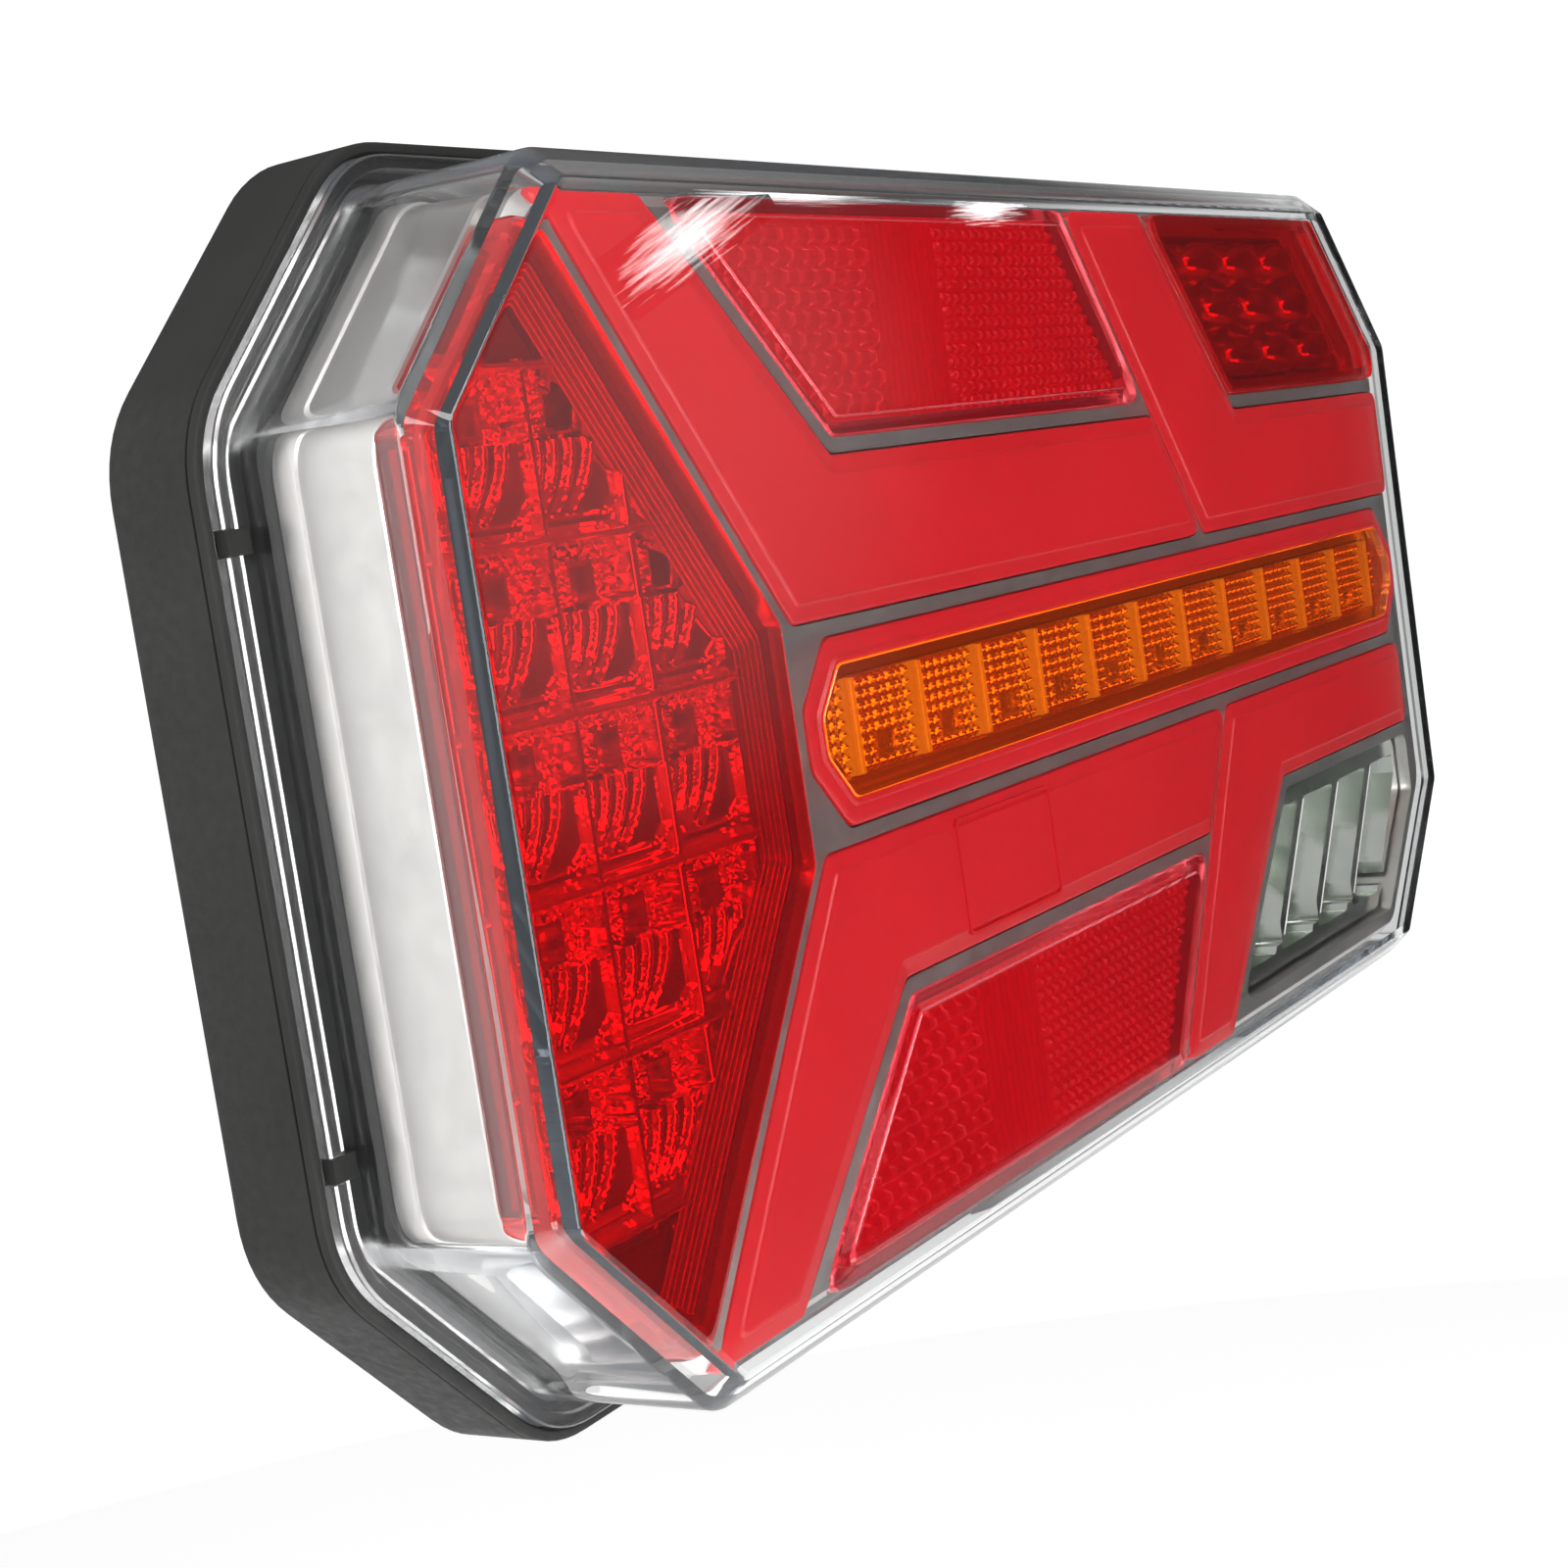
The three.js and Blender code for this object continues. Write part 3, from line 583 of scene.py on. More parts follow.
def painted_dark_red():
    """Dull brown-red for the blank plates at the ends of the tail chamber: a painted dark reflection,
    standing in for smooth chrome there that mirrors dark surroundings.
    """
    material, tree, shader = new_material("painted_dark_red", Specular_IOR_Level=0.3)
    cloud = between(tree, noise(tree, 45, 3), 0, 1)
    colour = blend_colours(tree, cloud, (0.03, 0.012, 0.01), (0.16, 0.05, 0.04))
    tree.links.new(colour, shader.inputs["Base Color"])
    tree.links.new(between(tree, noise(tree, 300), 0.35, 0.5), shader.inputs["Roughness"])
    return material


def zinc():
    material, tree, shader = new_material("zinc_steel", Metallic=1.0)
    spangle = between(tree, noise(tree, 350), 0, 1)
    colour = blend_colours(tree, spangle, (0.42, 0.43, 0.45), (0.66, 0.66, 0.64))
    tree.links.new(colour, shader.inputs["Base Color"])
    tree.links.new(between(tree, noise(tree, 1200), 0.25, 0.45), shader.inputs["Roughness"])
    return material


def darken_long_paths(material, colour, density):
    """Absorption that only shows in light guided a long way inside the plastic."""
    tree = material.node_tree
    absorption = tree.nodes.new("ShaderNodeVolumeAbsorption")
    absorption.inputs["Color"].default_value = (*colour, 1)
    absorption.inputs["Density"].default_value = density
    output = tree.nodes["Material Output"]
    tree.links.new(absorption.outputs["Volume"], output.inputs["Volume"])


def frost_below(material, height, roughness):
    """Matte plastic below a height, as on a flange that was moulded in a blasted tool."""
    tree = material.node_tree
    shader = tree.nodes["Principled BSDF"]
    polish = shader.inputs["Roughness"].links[0].from_socket
    split = tree.nodes.new("ShaderNodeSeparateXYZ")
    tree.links.new(place(tree), split.inputs["Vector"])
    edge = -height * MM
    matte = between(tree, split.outputs["Y"], 0, roughness, edge, edge + 0.2 * MM)
    total = tree.nodes.new("ShaderNodeMath")
    total.operation = "ADD"
    tree.links.new(polish, total.inputs[0])
    tree.links.new(matte, total.inputs[1])
    tree.links.new(total.outputs["Value"], shader.inputs["Roughness"])


BLACK = black_plastic()
RUBBER = rubber()
# The last two values of each acrylic give its painted glow, a stand-in for light scattered inside it.
CLEAR = acrylic("clear_lens", (0.985, 0.992, 0.988), 0.003, 0.008, 1.0, 0.0015, (0.9, 0.95, 1))
darken_long_paths(CLEAR, (0.12, 0.2, 0.3), 6)
frost_below(CLEAR, LIP_TOP + 0.4, 0.22)
RED = acrylic("red_lens", (0.9, 0.03, 0.034), 0.015, 0.035, 0.93, 0.025, (1, 0.03, 0.04))
PALE_RED = acrylic("reflex_red", (0.97, 0.3, 0.34), 0.01, 0.03, 1.0, 0.02, (1, 0.03, 0.08))
AMBER = acrylic("amber_lens", (0.95, 0.3, 0.015), 0.01, 0.03, 1.0, 0.05, (1, 0.18, 0.01))
SATIN = satin_red()
BEZEL = chrome("bezel_metal", (0.78, 0.75, 0.73), 0.3, 0.42)
CHROME = chrome("bright_reflector", (0.92, 0.92, 0.92), 0.05, 0.1)
SOFT_CHROME = chrome("satin_reflector", (0.76, 0.79, 0.75), 0.14, 0.22)
# dark_reflector is a darker copy of the reflector chrome, which paints shade where it is used.
DARK_CHROME = chrome("dark_reflector", (0.5, 0.51, 0.5), 0.12, 0.2)
# Both whites carry a painted glow, set by their first value.
BAR_WHITE = white_plastic("white_guide", 0.5, (1, 0.75, 0.4))
FIN_WHITE = white_plastic("white_fin", 0.35, (1, 1, 1))
PRISM = prism_red()
PAINTED_DARK_RED = painted_dark_red()
BOARD = board_material()
ZINC = zinc()


# --- shell --------------------------------------------------------------------------------------

def make_housing():
    """A tray with a parting line, a shelf for the seal, an inner collar and a recessed back."""
    edge = 0.6
    line = 9.0
    inside = COLLAR_INSET + COLLAR_THICKNESS
    profile = [
        (2 * edge, 0), (edge, 0), (0.15, 0.15), (0, edge),
        (0, line), (0.22, line + 0.08), (0.22, line + 0.22), (0, line + 0.3),
        (0, RIM_HEIGHT - 0.3), (0.1, RIM_HEIGHT - 0.1), (0.3, RIM_HEIGHT),
        (RIM_THICKNESS - 0.2, RIM_HEIGHT), (RIM_THICKNESS, RIM_HEIGHT - 0.2),
        (RIM_THICKNESS, SHELF_HEIGHT), (COLLAR_INSET, SHELF_HEIGHT),
        (COLLAR_INSET, COLLAR_TOP - 0.3), (COLLAR_INSET + 0.3, COLLAR_TOP),
        (inside, COLLAR_TOP), (inside, FLOOR_TOP),
    ]
    body = build("housing_shell", [stepped(rim_outline, profile)])
    keep_in = octagon(11)
    for x, z, half_x, half_z in REAR_PANELS:
        corners = [
            (x - half_x, z - half_z), (x + half_x, z - half_z),
            (x + half_x, z + half_z), (x - half_x, z + half_z),
        ]
        carve(body, [slab(rounded(clip(corners, keep_in), 3), -1, RECESS)])
    for x, z, radius in REAR_BORES:
        carve(body, [turned(x, z, [(radius, -1), (radius, FLOOR_TOP + 1)])])
    finish_piece(body, BLACK, ["housing"])


def make_tabs():
    """The two black tabs that hold the cover down on its left side."""
    tabs = []
    for side in (-1, 1):
        z = side * NOTCH_Z
        x = -HALF_WIDTH + LIP_INSET + TAB_SLACK
        half = NOTCH_WIDTH / 2 - TAB_SLACK
        tabs.append(block(
            x, x + LIP_THICKNESS + TAB_REACH, z - half, z + half, FLANGE_TOP + TAB_SLACK, LIP_TOP,
        ))
    body = build("retaining_tabs", tabs)
    finish_piece(body, BLACK)


def make_cover():
    """The clear lens as one hollow moulding, from its flange and lip to its bevelled front."""
    inner = COVER_INSET + COVER_THICKNESS
    face = FRONT - FACE_THICKNESS
    soft = 0.22
    slope = BEVEL_DEPTH / BEVEL_WIDTH
    shoulder = FRONT - BEVEL_DEPTH
    plateau = COVER_INSET + BEVEL_WIDTH
    profile = [
        (inner + BEVEL_WIDTH / 2, face), (inner, face - BEVEL_DEPTH / 2), (inner, FLANGE_BOTTOM),
        (LIP_INSET, FLANGE_BOTTOM), (LIP_INSET, LIP_TOP - soft), (LIP_INSET + soft, LIP_TOP),
        (LIP_INSET + LIP_THICKNESS - soft, LIP_TOP), (LIP_INSET + LIP_THICKNESS, LIP_TOP - soft),
        (LIP_INSET + LIP_THICKNESS, FLANGE_TOP), (COVER_INSET - soft, FLANGE_TOP),
        (COVER_INSET, FLANGE_TOP + soft),
        (COVER_INSET, shoulder - soft), (COVER_INSET + 0.07, shoulder),
        (COVER_INSET + soft, shoulder + soft * slope),
        (plateau - soft, FRONT - soft * slope), (plateau, FRONT - 0.07), (plateau + soft, FRONT),
        (plateau + 3 * soft, FRONT),
    ]
    body = build("clear_cover", [stepped(cover_outline, profile)])
    notches = []
    for side in (-1, 1):
        z = side * NOTCH_Z
        x = -HALF_WIDTH + LIP_INSET
        notches.append(block(
            x - 1, x + LIP_THICKNESS + 0.5, z - NOTCH_WIDTH / 2, z + NOTCH_WIDTH / 2,
            FLANGE_TOP + 0.05, FRONT,
        ))
    carve(body, notches)
    finish_piece(body, CLEAR, ["outer_lens"])


def make_seal():
    """A rubber ring between the rim and the collar, with a groove along its top."""
    outer = RIM_THICKNESS + GAP
    inner = COLLAR_INSET - GAP
    bottom, top = heights("lens_seal")
    mid = (outer + inner) / 2
    section = [
        (outer, bottom + 0.2), (outer, top - 0.2), (outer + 0.3, top), (mid - 0.9, top),
        (mid - 0.6, top - 0.3), (mid + 0.6, top - 0.3), (mid + 0.9, top), (inner - 0.3, top),
        (inner, top - 0.2), (inner, bottom + 0.2), (inner - 0.3, bottom), (outer + 0.3, bottom),
    ]
    rings = [ring(rim_outline(inset), height) for inset, height in section]
    body = build("lip_seal", [closed_ring(rings)])
    finish_piece(body, RUBBER, ["lens_seal"])


# --- bezel and inner lenses ---------------------------------------------------------------------

LIT = [TAIL, UPPER_GUIDE, UPPER_ARM, FOG, INDICATOR, LOWER_GUIDE, LOWER_ARM]
REFLEX = [UPPER_REFLEX, LOWER_REFLEX]


def make_bezel():
    """The metallised frame: a stepped wall, and a plate with a seat for each lens."""
    ledge = 15.4
    inner = BEZEL_INSET + BEZEL_WALL
    profile = [
        (inner, PLATE_BOTTOM), (inner, BEZEL_BOTTOM), (BEZEL_INSET - 0.3, BEZEL_BOTTOM),
        (BEZEL_INSET - 0.3, ledge - 0.5), (BEZEL_INSET - 0.2, ledge - 0.15), (BEZEL_INSET, ledge),
        (BEZEL_INSET, WALL_TOP - 0.15), (BEZEL_INSET + 0.12, WALL_TOP), (LENS_INSET, WALL_TOP),
        (LENS_INSET, BEZEL_TOP - 1.2), (LENS_INSET + 1.2, BEZEL_TOP),
        (LENS_INSET + 1.6, BEZEL_TOP),
    ]
    body = build("bezel_and_ribs", [stepped(rim_outline, profile)])
    seats = [slab(window(region, -GAP), PLATE_TOP, FRONT) for region in LIT + REFLEX]
    openings = []
    for region in LIT:
        inset = BORDER_WIDTH + LENS_WALL - 0.1 if region is INDICATOR else OPENING_INSET
        openings.append(slab(window(region, inset), BEZEL_BOTTOM - 1, FRONT))
    clear_window = slab(rounded(REVERSING, 2), BEZEL_BOTTOM - 1, FRONT)
    for cutter in seats + openings + [clear_window]:
        carve(body, [cutter])
    finish_piece(body, BEZEL, ["bezel_frame"])


def lens_shell(region, top_profile, radius=WINDOW_RADIUS):
    """A lens as a box without a bottom: its skin and a skirt all round."""
    def outline_at(inset):
        return window(region, inset, radius)

    profile = [
        (LENS_WALL, UNDER_SKIN), (LENS_WALL, LENS_BOTTOM), (0, LENS_BOTTOM),
    ] + top_profile
    return stepped(outline_at, profile)


SMOOTH_TOP = [(0, LENS_TOP - 0.7), (0.2, LENS_TOP - 0.2), (0.7, LENS_TOP), (1.0, LENS_TOP)]
BORDERED_TOP = [
    (0, LENS_TOP - 0.8), (0.15, LENS_TOP - 0.45), (0.5, LENS_TOP - 0.3), (1.7, LENS_TOP - 0.3),
    (1.85, LENS_TOP - 0.22), (2.0, LENS_TOP - 0.05), (2.2, LENS_TOP), (2.6, LENS_TOP),
]


def make_red_lens(name, region, node):
    """A smooth see-through red lens."""
    body = build(name, [lens_shell(region, SMOOTH_TOP)])
    finish_piece(body, RED, [node])


def make_guide(name, region, node, extra=()):
    """A satin lens with a raised border; extra closed bodies can stand on it."""
    body = build(name, [lens_shell(region, BORDERED_TOP, 1.8), *extra])
    finish_piece(body, SATIN, [node])


def frame_outline(x0, x1, z0, z1, width, bottom, top):
    """A thin raised rectangle."""
    outer = rounded([(x0, z0), (x1, z0), (x1, z1), (x0, z1)], 1)
    inner = rounded([
        (x0 + width, z0 + width), (x1 - width, z0 + width),
        (x1 - width, z1 - width), (x0 + width, z1 - width),
    ], 0.8)
    return closed_ring([
        ring(outer, bottom), ring(outer, top), ring(inner, top), ring(inner, bottom),
    ])


# --- reflectors and prisms ----------------------------------------------------------------------

CHAMBER_INSET = 2.6
TAIL_CELL = (12.4, 15.0)
TAIL_FIRST_X = -103
TAIL_CELLS_END = 38.5
FLUTES = (-3.8, -1.3, 1.2, 3.7)
FLUTES_START = 1.6
FLUTES_END = -5.0
# inset from the ribs, and height
TERRACES = [(3.2, 25.2), (4.1, 24.6), (5.0, 24.0)]
TERRACE_END = 5.9
INDICATOR_PITCH = 13.95
FIRST_BAR = -52.5
BAR_COUNT = 12
BAR_HEIGHT = 4.9
BORDER_WIDTH = 2.8
FOG_TOP_ROW = (61, 47)
FOG_PITCH = (14, 6.4)
FOG_ROW_SHIFT = 5.5
BAY_COUNT = 4
FIRST_BAY = (52, -37.5)
BAY_PITCH = 14.2
BRICKS_TO = -35
PLAIN_TO = -20


def in_cell(values, pitch, middle):
    """How far each value is from the middle of its cell, in mm."""
    return (values - middle + pitch / 2) % pitch - pitch / 2


def ridge(distance, half_width):
    """A round ridge of unit height."""
    return np.sqrt(np.clip(1 - (distance / half_width) ** 2, 0, None))


def tail_height(x, z):
    """Rows of cells: beaded flutes that bend to the lower left, ledges, walls and LED holes."""
    width, height = TAIL_CELL
    u = in_cell(x, width, TAIL_FIRST_X)
    v = in_cell(z, height, 0)
    bend = 0.09 * np.clip(1.5 - v, 0, None) ** 2
    flutes = sum(ridge(in_cell(u - middle + bend, width, 0), 0.55) for middle in FLUTES)
    beads = 0.8 + 0.2 * np.abs(np.sin(np.pi * z / 0.9))
    fluted = (v < FLUTES_START) & (v > FLUTES_END)
    top = 22.7 + 0.02 * u ** 2 + np.where(fluted, 0.7 * flutes * beads, 0)
    dots = np.clip(np.sin(2 * np.pi * x / 1.9) * np.sin(2 * np.pi * z / 1.7) - 0.4, 0, None)
    shelf = 20.6 + 1.3 * dots + 0.25 * (v - FLUTES_START)
    top = np.where(v > FLUTES_START, shelf, top)
    hole = np.maximum(np.abs(u - 0.6), np.abs(v - 3.9))
    top = np.where(hole < 1.5, 17.5, np.where(hole < 2.0, 22.4, top))
    lines = ridge(v + 5.4, 0.4) + ridge(v + 7.0, 0.4)
    ledge = 22.6 + 0.8 * (FLUTES_END - v) + 0.5 * lines
    top = np.where(v < FLUTES_END, ledge, top)
    wall = 24.2 + 0.4 * ridge(np.abs(u) - width / 2, 0.5)
    return np.where(np.abs(u) > width / 2 - 0.5, np.maximum(top, wall), top)


def make_tail_reflector():
    """Cells in the middle of the chamber, blank plates at its ends and steps along its ribs."""
    inside = shrink(clear_of_rim(TAIL), CHAMBER_INSET)
    within_terraces = clip(inside, shrink(TAIL, TERRACE_END))

    def stretch(z0, z1):
        """The part of the chamber's floor between two heights in the face."""
        return clip(within_terraces, [(-HALF_WIDTH, z0), (0, z0), (0, z1), (-HALF_WIDTH, z1)])

    cells = stretch(-TAIL_CELLS_END, TAIL_CELLS_END)
    optic = relief("tail_optic", cells, 15, 0.25, tail_height)
    finish_piece(optic, CHROME, ["tail_reflector"], 40)
    plates = []
    for z0, z1 in ((-2 * HALF_HEIGHT, -TAIL_CELLS_END), (TAIL_CELLS_END, 2 * HALF_HEIGHT)):
        plate = stretch(z0, z1)
        plates.append(loft([ring(plate, 21), ring(plate, 23), ring(shrink(plate, 0.5), 23.4)]))
    # The end plates carry a painted dark reflection in place of smooth chrome.
    ends = build("tail_end_plates", plates)
    finish_piece(ends, PAINTED_DARK_RED, ["tail_reflector"])
    steps = build("tail_terraces", [slab(inside, 19, UNDER_SKIN - 0.1)])
    for inset, height in TERRACES:
        carve(steps, [slab(rounded(shrink(TAIL, inset), 2), height, FRONT)])
    carve(steps, [slab(shrink(TAIL, TERRACE_END - 0.1), 10, FRONT)])
    soften_edges(steps, 0.18)
    finish_piece(steps, DARK_CHROME, ["tail_reflector"])


def make_indicator_lens():
    """The amber lens in its red border."""
    def outline_at(inset):
        return window(INDICATOR, inset, 3)

    edge = BORDER_WIDTH
    profile = [
        (edge + LENS_WALL, UNDER_SKIN), (edge + LENS_WALL, LENS_BOTTOM),
        (edge, LENS_BOTTOM), (edge, LENS_TOP - 0.1), (edge + 0.1, LENS_TOP), (edge + 0.8, LENS_TOP),
    ]
    lens = build("indicator_cover", [stepped(outline_at, profile)])
    finish_piece(lens, AMBER, ["indicator_lens"])
    rings = [ring(outline_at(inset), height) for inset, height in (
        (edge - 0.1, LENS_BOTTOM), (0, LENS_BOTTOM), (0, LENS_TOP - 0.8), (0.15, LENS_TOP - 0.45),
        (0.5, LENS_TOP - 0.3), (edge - 0.9, LENS_TOP - 0.3), (edge - 0.6, LENS_TOP),
        (edge - 0.25, LENS_TOP), (edge - 0.1, LENS_TOP - 0.15),
    )]
    border = build("indicator_border", [closed_ring(rings)])
    finish_piece(border, SATIN, ["indicator_lens"])


def indicator_height(x, z):
    """Rows of small pillows, with an LED hole low in each cell."""
    u = in_cell(x, INDICATOR_PITCH, FIRST_BAR + INDICATOR_PITCH / 2)
    pillow = np.abs(np.sin(np.pi * u / 1.7)) * np.abs(np.sin(np.pi * z / 1.2))
    top = 24.4 + 0.6 * pillow
    hole = np.maximum(np.abs(u) - 0.6, np.abs(z + 2.6))
    return np.where(hole < 1.3, 22.6, top)


def make_indicator_reflector():
    """Pillows in a row of cells, with a pair of pale bars between one cell and the next."""
    outline = shrink(INDICATOR, BORDER_WIDTH + LENS_WALL + 0.1)
    optic = relief("indicator_optic", outline, 20.2, 0.2, indicator_height)
    finish_piece(optic, CHROME, ["indicator_reflector"], 40)
    bars = []
    for i in range(BAR_COUNT):
        middle = FIRST_BAR + i * INDICATOR_PITCH
        for line in (-0.5, 0.5):
            x = middle + line
            bars.append(block(x - 0.28, x + 0.28, -BAR_HEIGHT, BAR_HEIGHT, 24.2, UNDER_SKIN - 0.4))
    guides = build("indicator_bars", bars)
    finish_piece(guides, BAR_WHITE, ["indicator_reflector"])


def fog_height(x, z):
    """Three rows of oval bulges, each row set further to the right."""
    along, down = FOG_PITCH
    row = np.clip(np.round((FOG_TOP_ROW[1] - z) / down), 0, 2)
    dz = z - (FOG_TOP_ROW[1] - down * row)
    first = FOG_TOP_ROW[0] + FOG_ROW_SHIFT * row
    dx = x - first - along * np.clip(np.round((x - first) / along), -1, 3)
    bulge = np.sqrt(np.clip(1 - (dx / 6.6) ** 2 - (dz / 3.15) ** 2, 0, None))
    return 20.5 + 3.4 * bulge


def make_fog_reflector():
    """The bulges behind the fog lens."""
    outline = shrink(clear_of_rim(FOG), CHAMBER_INSET)
    optic = relief("fog_optic", outline, 18, 0.35, fog_height)
    finish_piece(optic, DARK_CHROME, ["fog_reflector"], 50)


def slanted(x, z, half_width, half_height):
    """A parallelogram that leans to the right, clipped to the reversing window."""
    lean = 0.8 * half_height
    corners = [
        (x - half_width - lean, z - half_height), (x + half_width - lean, z - half_height),
        (x + half_width + lean, z + half_height), (x - half_width + lean, z + half_height),
    ]
    return clip(corners, shrink(REVERSING[::-1], 1.8))


def make_reversing_reflector():
    """Four slanting bays, each with a square pocket and a pale upright fin."""
    body = build("reversing_optic", [slab(rounded(shrink(REVERSING, 0.6), 1.8), 14, 25.4)])
    bays = []
    pockets = []
    fins = []
    for i in range(BAY_COUNT):
        x, z = FIRST_BAY[0] + BAY_PITCH * i, FIRST_BAY[1]
        bays.append(slab(rounded(slanted(x, z, 6.0, 9.4), 0.6), 19.5, FRONT))
        pockets.append(block(x - 5.5, x + 1.5, z - 8.5, z - 1.5, 15.5, FRONT))
        lean = slanted(x - 4.2, z + 0.5, 1.0, 8.6)
        fins.append(loft([ring(lean, 19), ring(shrink(lean, 0.3), 24.9)]))
    carve(body, bays)
    carve(body, pockets)
    finish_piece(body, SOFT_CHROME, ["reversing_reflector"], 40)
    plates = build("reversing_fins", fins)
    finish_piece(plates, FIN_WHITE, ["reversing_reflector"])


def brick_edges(x, z, width, height):
    """How far each point is from the edge of its brick, in mm."""
    row = np.floor(z / height)
    u = (x / width + 0.5 * (row % 2)) % 1.0
    v = (z / height) % 1.0
    return np.minimum(np.minimum(u, 1 - u) * width, np.minimum(v, 1 - v) * height)


def reflex_height(x, z):
    """Coarse bricks at the left, fine upright lines in the middle and small bricks at the right."""
    coarse = 1.5 * np.minimum(brick_edges(x, z, 3.0, 2.1), 0.55)
    fine = 1.6 * np.minimum(brick_edges(x + 0.4 * z, z, 1.9, 1.4), 0.4)
    plain = 0.2 * np.abs(np.sin(np.pi * x / 1.4))
    return 24.2 + np.where(x < BRICKS_TO, coarse, np.where(x < PLAIN_TO, plain, fine))


def make_reflex(name, region, node):
    """A pale red lens over prisms that stop short of its skirt."""
    lens = build(f"{name}_lens", [lens_shell(region, BORDERED_TOP)])
    finish_piece(lens, PALE_RED, [node])
    outline = shrink(clear_of_rim(region), 1.8)
    prisms = relief(f"{name}_prisms", outline, 22.2, 0.22, reflex_height)
    finish_piece(prisms, PRISM, [node], 40)


# --- boards -------------------------------------------------------------------------------------

def dress_boards():
    """The boards keep their CAD shapes and get a material."""
    for name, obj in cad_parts.items():
        if name.endswith("_led_board"):
            obj.data.materials.clear()
            obj.data.materials.append(BOARD)


# --- fittings -----------------------------------------------------------------------------------

def make_studs():
    """Threaded studs with a disc head inside the housing."""
    pitch = 0.8
    core = STUD_RADIUS - 0.45
    head = 5
    low, high = heights("mounting_stud_1")
    for i, (x, z) in enumerate(STUDS):
        profile = [(core - 0.5, low), (core, low + 0.5)]
        height = low + 0.5
        while height < -1.2:
            profile += [(STUD_RADIUS, height + pitch / 2), (core, height + pitch)]
            height += pitch
        profile += [(STUD_RADIUS, -0.6), (STUD_RADIUS, FLOOR_TOP), (head, FLOOR_TOP)]
        profile += [(head, high - 0.3), (head - 0.3, high)]
        stud = build(f"threaded_stud_{i + 1}", [turned(x, z, profile)])
        finish_piece(stud, ZINC, [f"mounting_stud_{i + 1}"], 25)


def make_screws():
    """Pan-head screws with a cross recess, in the places of the CAD screws."""
    names = sorted(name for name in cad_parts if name.startswith("board_screw"))
    for name in names:
        low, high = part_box(name)
        x = (low[0] + high[0]) / 2 / MM
        z = (low[2] + high[2]) / 2 / MM
        radius = (high[0] - low[0]) / 2 / MM
        bottom, top = heights(name)
        under = top - 1.5
        profile = [
            (0.9, bottom), (1.2, bottom + 0.4), (1.2, under), (radius, under),
            (radius, under + 0.6), (0.8 * radius, top - 0.2), (0.4 * radius, top),
        ]
        screw = build(f"cross_{name}", [turned(x, z, profile, 24)])
        carve(screw, [block(x - 1.5, x + 1.5, z - 0.3, z + 0.3, top - 0.9, top + 1)])
        carve(screw, [block(x - 0.3, x + 0.3, z - 1.5, z + 1.5, top - 0.9, top + 1)])
        finish_piece(screw, ZINC, [name])


def make_gland():
    """A ribbed rubber gland with a blind hole for the cable."""
    low, high = heights("cable_gland")
    outside = [(5.0, low), (5.4, low + 0.3)]
    for i in range(3):
        height = low + 0.9 + 2.0 * i
        outside += [(5.4, height), (6.0, height + 0.3), (6.0, height + 1.0), (5.4, height + 1.3)]
    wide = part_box("cable_gland")[1][0] / MM - GLAND[0]
    profile = [(3.6, low + 7.5), (3.6, low)] + outside
    profile += [(6.0, -0.2), (6.0, FLOOR_TOP), (wide, FLOOR_TOP)]
    profile += [(wide, high - 0.3), (wide - 0.3, high)]
    gland = build("ribbed_gland", [turned(*GLAND, profile)])
    finish_piece(gland, RUBBER, ["cable_gland"])


def make_vent():
    """A push-in vent plug with a groove round its face."""
    low, high = heights("vent_plug")
    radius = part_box("vent_plug")[1][0] / MM - VENT[0]
    profile = [
        (1.6, low), (1.6, low + 0.25), (2.2, low + 0.25), (2.2, low),
        (radius - 0.4, low), (radius, low + 0.3), (radius, high - 0.2), (radius - 0.2, high),
    ]
    plug = build("vent_disc", [turned(*VENT, profile)])
    finish_piece(plug, RUBBER, ["vent_plug"])


# --- stage, in metres ---------------------------------------------------------------------------

CAMERA_PLACE = (-0.27513, -0.16104, 0.02294)
CAMERA_RIGHT = (0.5195, -0.8418, -0.1467)
CAMERA_FORWARD = (0.8378, 0.5355, -0.1060)
CAMERA_LENS = 59.43
CAMERA_SENSOR = 36

ROOM_FRONT = 0.08
ROOM_BEHIND = 1.4
ROOM_ABOVE = 0.5
ROOM_VEIL = 0.2
BACKDROP = 1.1
BEHIND = (-0.9, 0.42, -0.02)
ABOVE = (0, -0.2, 1)
MIRRORED = (0.878, -0.467, -0.105)
VEIL = (0.798, -0.602, 0.035)
FAR_RIGHT = (0.97, 0.25, 0)

GLINT_STRENGTH = 14
GLINTS = [
    ("long_glint", (1.222, -0.939, 0.184), (1.298, -0.854, 0.247), 0.05),
    ("top_glint", (1.256, -0.897, 0.247), (1.374, -0.778, 0.224), 0.016),
    ("short_glint", (1.391, -0.761, 0.212), (1.433, -0.718, 0.207), 0.026),
]
FLOOR_DROP = 0.75
FLOOR_RADIUS = 2
FLOOR_THICKNESS = 0.005
LIGHTS = [
    ("key", (-0.25, -1.0, 0.85), (0.7, 0.5), 10),
    ("left_fill", (-1.1, -0.5, 0.3), (0.4, 0.6), 6),
    ("front_strip", (-0.5, -1.2, 0.1), (0.4, 1.1), 9),
    ("low_fill", (0.1, -0.9, -0.5), (0.6, 0.3), 4),
]


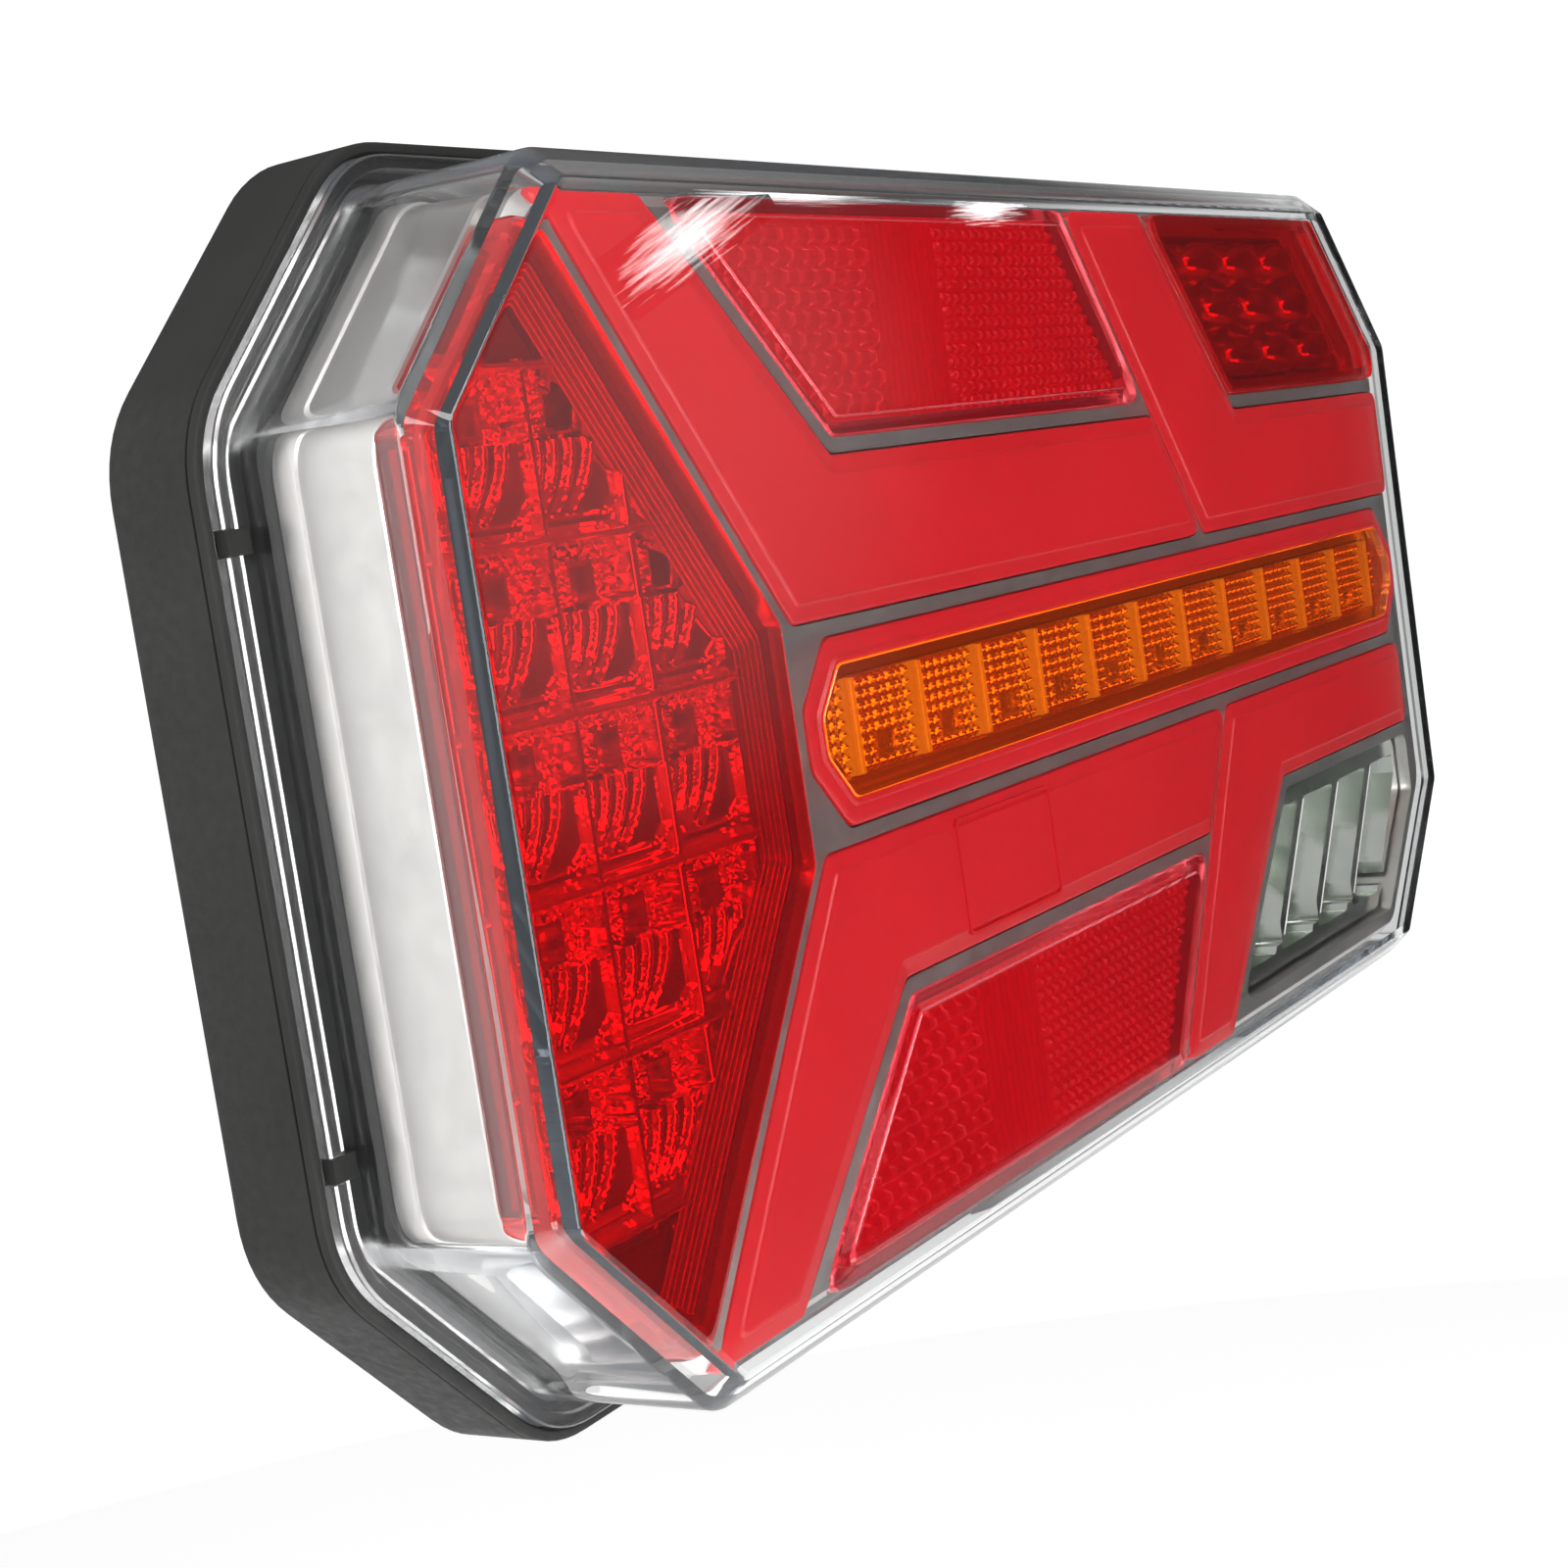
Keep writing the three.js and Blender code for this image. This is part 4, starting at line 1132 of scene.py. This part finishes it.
def make_camera():
    """A camera at the photograph's place and angle."""
    data = bpy.data.cameras.new("camera")
    data.lens = CAMERA_LENS
    data.sensor_width = CAMERA_SENSOR
    data.clip_start = 0.01
    camera = bpy.data.objects.new("camera", data)
    bpy.context.scene.collection.objects.link(camera)
    right = Vector(CAMERA_RIGHT).normalized()
    forward = Vector(CAMERA_FORWARD).normalized()
    up = right.cross(forward)
    turn = Matrix((right, up, -forward)).transposed()
    camera.matrix_world = Matrix.Translation(CAMERA_PLACE) @ turn.to_4x4()
    bpy.context.scene.camera = camera


def make_world():
    """A pale studio behind and above, dimmer in front, and dark where the lamp's face looks."""
    world = bpy.data.worlds.new("studio")
    world.use_nodes = True
    tree = world.node_tree
    background = tree.nodes["Background"]
    background.inputs["Color"].default_value = (1, 1, 1, 1)
    direction = tree.nodes.new("ShaderNodeTexCoord").outputs["Generated"]

    def towards(axis, start, end, low, high):
        """A value that goes from low to high as the view turns towards an axis."""
        dot = tree.nodes.new("ShaderNodeVectorMath")
        dot.operation = "DOT_PRODUCT"
        tree.links.new(direction, dot.inputs[0])
        dot.inputs[1].default_value = Vector(axis).normalized()
        ramp = tree.nodes.new("ShaderNodeMapRange")
        ramp.interpolation_type = "SMOOTHSTEP"
        tree.links.new(dot.outputs["Value"], ramp.inputs["Value"])
        for socket, value in (
            ("From Min", start), ("From Max", end), ("To Min", low), ("To Max", high),
        ):
            ramp.inputs[socket].default_value = value
        return ramp.outputs["Result"]

    def combine(a, b, operation):
        node = tree.nodes.new("ShaderNodeMath")
        node.operation = operation
        tree.links.new(a, node.inputs[0])
        tree.links.new(b, node.inputs[1])
        return node.outputs["Value"]

    def cone(axis, outer, inner, outside, inside):
        """A value inside a cone about an axis and another outside it, from angles in degrees."""
        start = math.cos(math.radians(outer))
        end = math.cos(math.radians(inner))
        return towards(axis, start, end, outside, inside)

    behind = towards(BEHIND, 0, 0.75, ROOM_FRONT, ROOM_BEHIND)
    above = towards(ABOVE, 0.25, 0.8, 0, ROOM_ABOVE)
    dark = cone(MIRRORED, 34, 20, 1, 0.05)
    veil = cone(VEIL, 10, 2, 0, ROOM_VEIL)
    right = cone(FAR_RIGHT, 26, 14, 0, 1)
    room = combine(combine(behind, above, "MAXIMUM"), dark, "MULTIPLY")
    room = combine(room, veil, "ADD")
    room = combine(room, right, "MAXIMUM")
    path = tree.nodes.new("ShaderNodeLightPath")
    mix = tree.nodes.new("ShaderNodeMix")
    tree.links.new(path.outputs["Is Camera Ray"], mix.inputs["Factor"])
    tree.links.new(room, mix.inputs["A"])
    mix.inputs["B"].default_value = BACKDROP
    tree.links.new(mix.outputs["Result"], background.inputs["Strength"])
    bpy.context.scene.world = world


def glint_material():
    """White that fades towards the card's edge, with streaks along it."""
    material, tree, shader = new_material("glint", Roughness=0.9)
    fade = tree.nodes.new("ShaderNodeTexGradient")
    fade.gradient_type = "SPHERICAL"
    tree.links.new(place(tree), fade.inputs["Vector"])
    streaks = between(tree, noise(tree, 1.6, 5, (1.0, 5.0, 1.0)), -0.35, 0.35)
    total = tree.nodes.new("ShaderNodeMath")
    total.operation = "ADD"
    tree.links.new(fade.outputs["Fac"], total.inputs[0])
    tree.links.new(streaks, total.inputs[1])
    strength = between(tree, total.outputs["Value"], 0, GLINT_STRENGTH, 0.15, 0.85)
    shader.inputs["Emission Color"].default_value = (1, 1, 1, 1)
    tree.links.new(strength, shader.inputs["Emission Strength"])
    shader.inputs["Base Color"].default_value = (0, 0, 0, 1)
    return material


def make_glints():
    """Small bright cards far to the right, which the lamp's flat face mirrors as white streaks."""
    material = glint_material()
    for name, start, end, width in GLINTS:
        mesh = bpy.data.meshes.new(name)
        mesh.from_pydata([(-1, -1, 0), (1, -1, 0), (1, 1, 0), (-1, 1, 0)], [], [(0, 1, 2, 3)])
        card = bpy.data.objects.new(name, mesh)
        bpy.context.scene.collection.objects.link(card)
        start, end = Vector(start), Vector(end)
        middle = (start + end) / 2
        along = (end - start).normalized()
        across = along.cross(middle).normalized()
        turn = Matrix((along, across, along.cross(across))).transposed()
        size = Matrix.Diagonal(((end - start).length / 2, width / 2, 1, 1))
        card.matrix_world = Matrix.Translation(middle) @ turn.to_4x4() @ size
        card.data.materials.append(material)
        card.visible_camera = False
        card.visible_transmission = False


def make_floor():
    """A pale round floor well below the lamp."""
    radius = FLOOR_RADIUS / MM
    floor = build("floor", [turned(0, 0, [(radius, 0), (radius, FLOOR_THICKNESS / MM)], 96)])
    turn = Matrix.Rotation(math.pi / 2, 4, "X")
    floor.matrix_world = Matrix.Translation((0, 0, -FLOOR_DROP)) @ turn
    pale = (0.93, 0.93, 0.93, 1)
    material, tree, shader = new_material(
        "floor", Base_Color=pale, Roughness=0.9, Emission_Color=pale, Emission_Strength=0.35,
    )
    floor.data.materials.append(material)


def make_lights():
    """Soft lights that face the lamp."""
    for name, position, size, watts in LIGHTS:
        data = bpy.data.lights.new(name, "AREA")
        data.shape = "RECTANGLE"
        data.size, data.size_y = size
        data.energy = watts
        light = bpy.data.objects.new(name, data)
        bpy.context.scene.collection.objects.link(light)
        light.location = position
        light.rotation_euler = (-Vector(position)).to_track_quat("-Z", "Y").to_euler()


# --- assembly -----------------------------------------------------------------------------------

make_camera()
make_world()
make_floor()
make_lights()
make_glints()

make_housing()
make_tabs()
make_cover()
make_seal()
make_bezel()

make_red_lens("tail_cover", TAIL, "tail_lens")
make_red_lens("fog_cover", FOG, "fog_lens")
make_indicator_lens()

label = frame_outline(*LABEL, 0.35, LENS_TOP - 1, LENS_TOP + 0.15)
make_guide("upper_guide", UPPER_GUIDE, "upper_light_guide")
make_guide("upper_arm", UPPER_ARM, "upper_right_guide")
make_guide("lower_guide", LOWER_GUIDE, "lower_light_guide", [label])
make_guide("lower_arm", LOWER_ARM, "lower_right_guide")

make_reflex("upper_reflex", UPPER_REFLEX, "upper_reflex")
make_reflex("lower_reflex", LOWER_REFLEX, "lower_reflex")
make_tail_reflector()
make_indicator_reflector()
make_fog_reflector()
make_reversing_reflector()
make_studs()
make_screws()
make_gland()
make_vent()
dress_boards()

scene = bpy.context.scene
scene.view_settings.view_transform = "Standard"
scene.cycles.max_bounces = 96
scene.cycles.transmission_bounces = 28
scene.cycles.glossy_bounces = 80
scene.cycles.transparent_max_bounces = 16
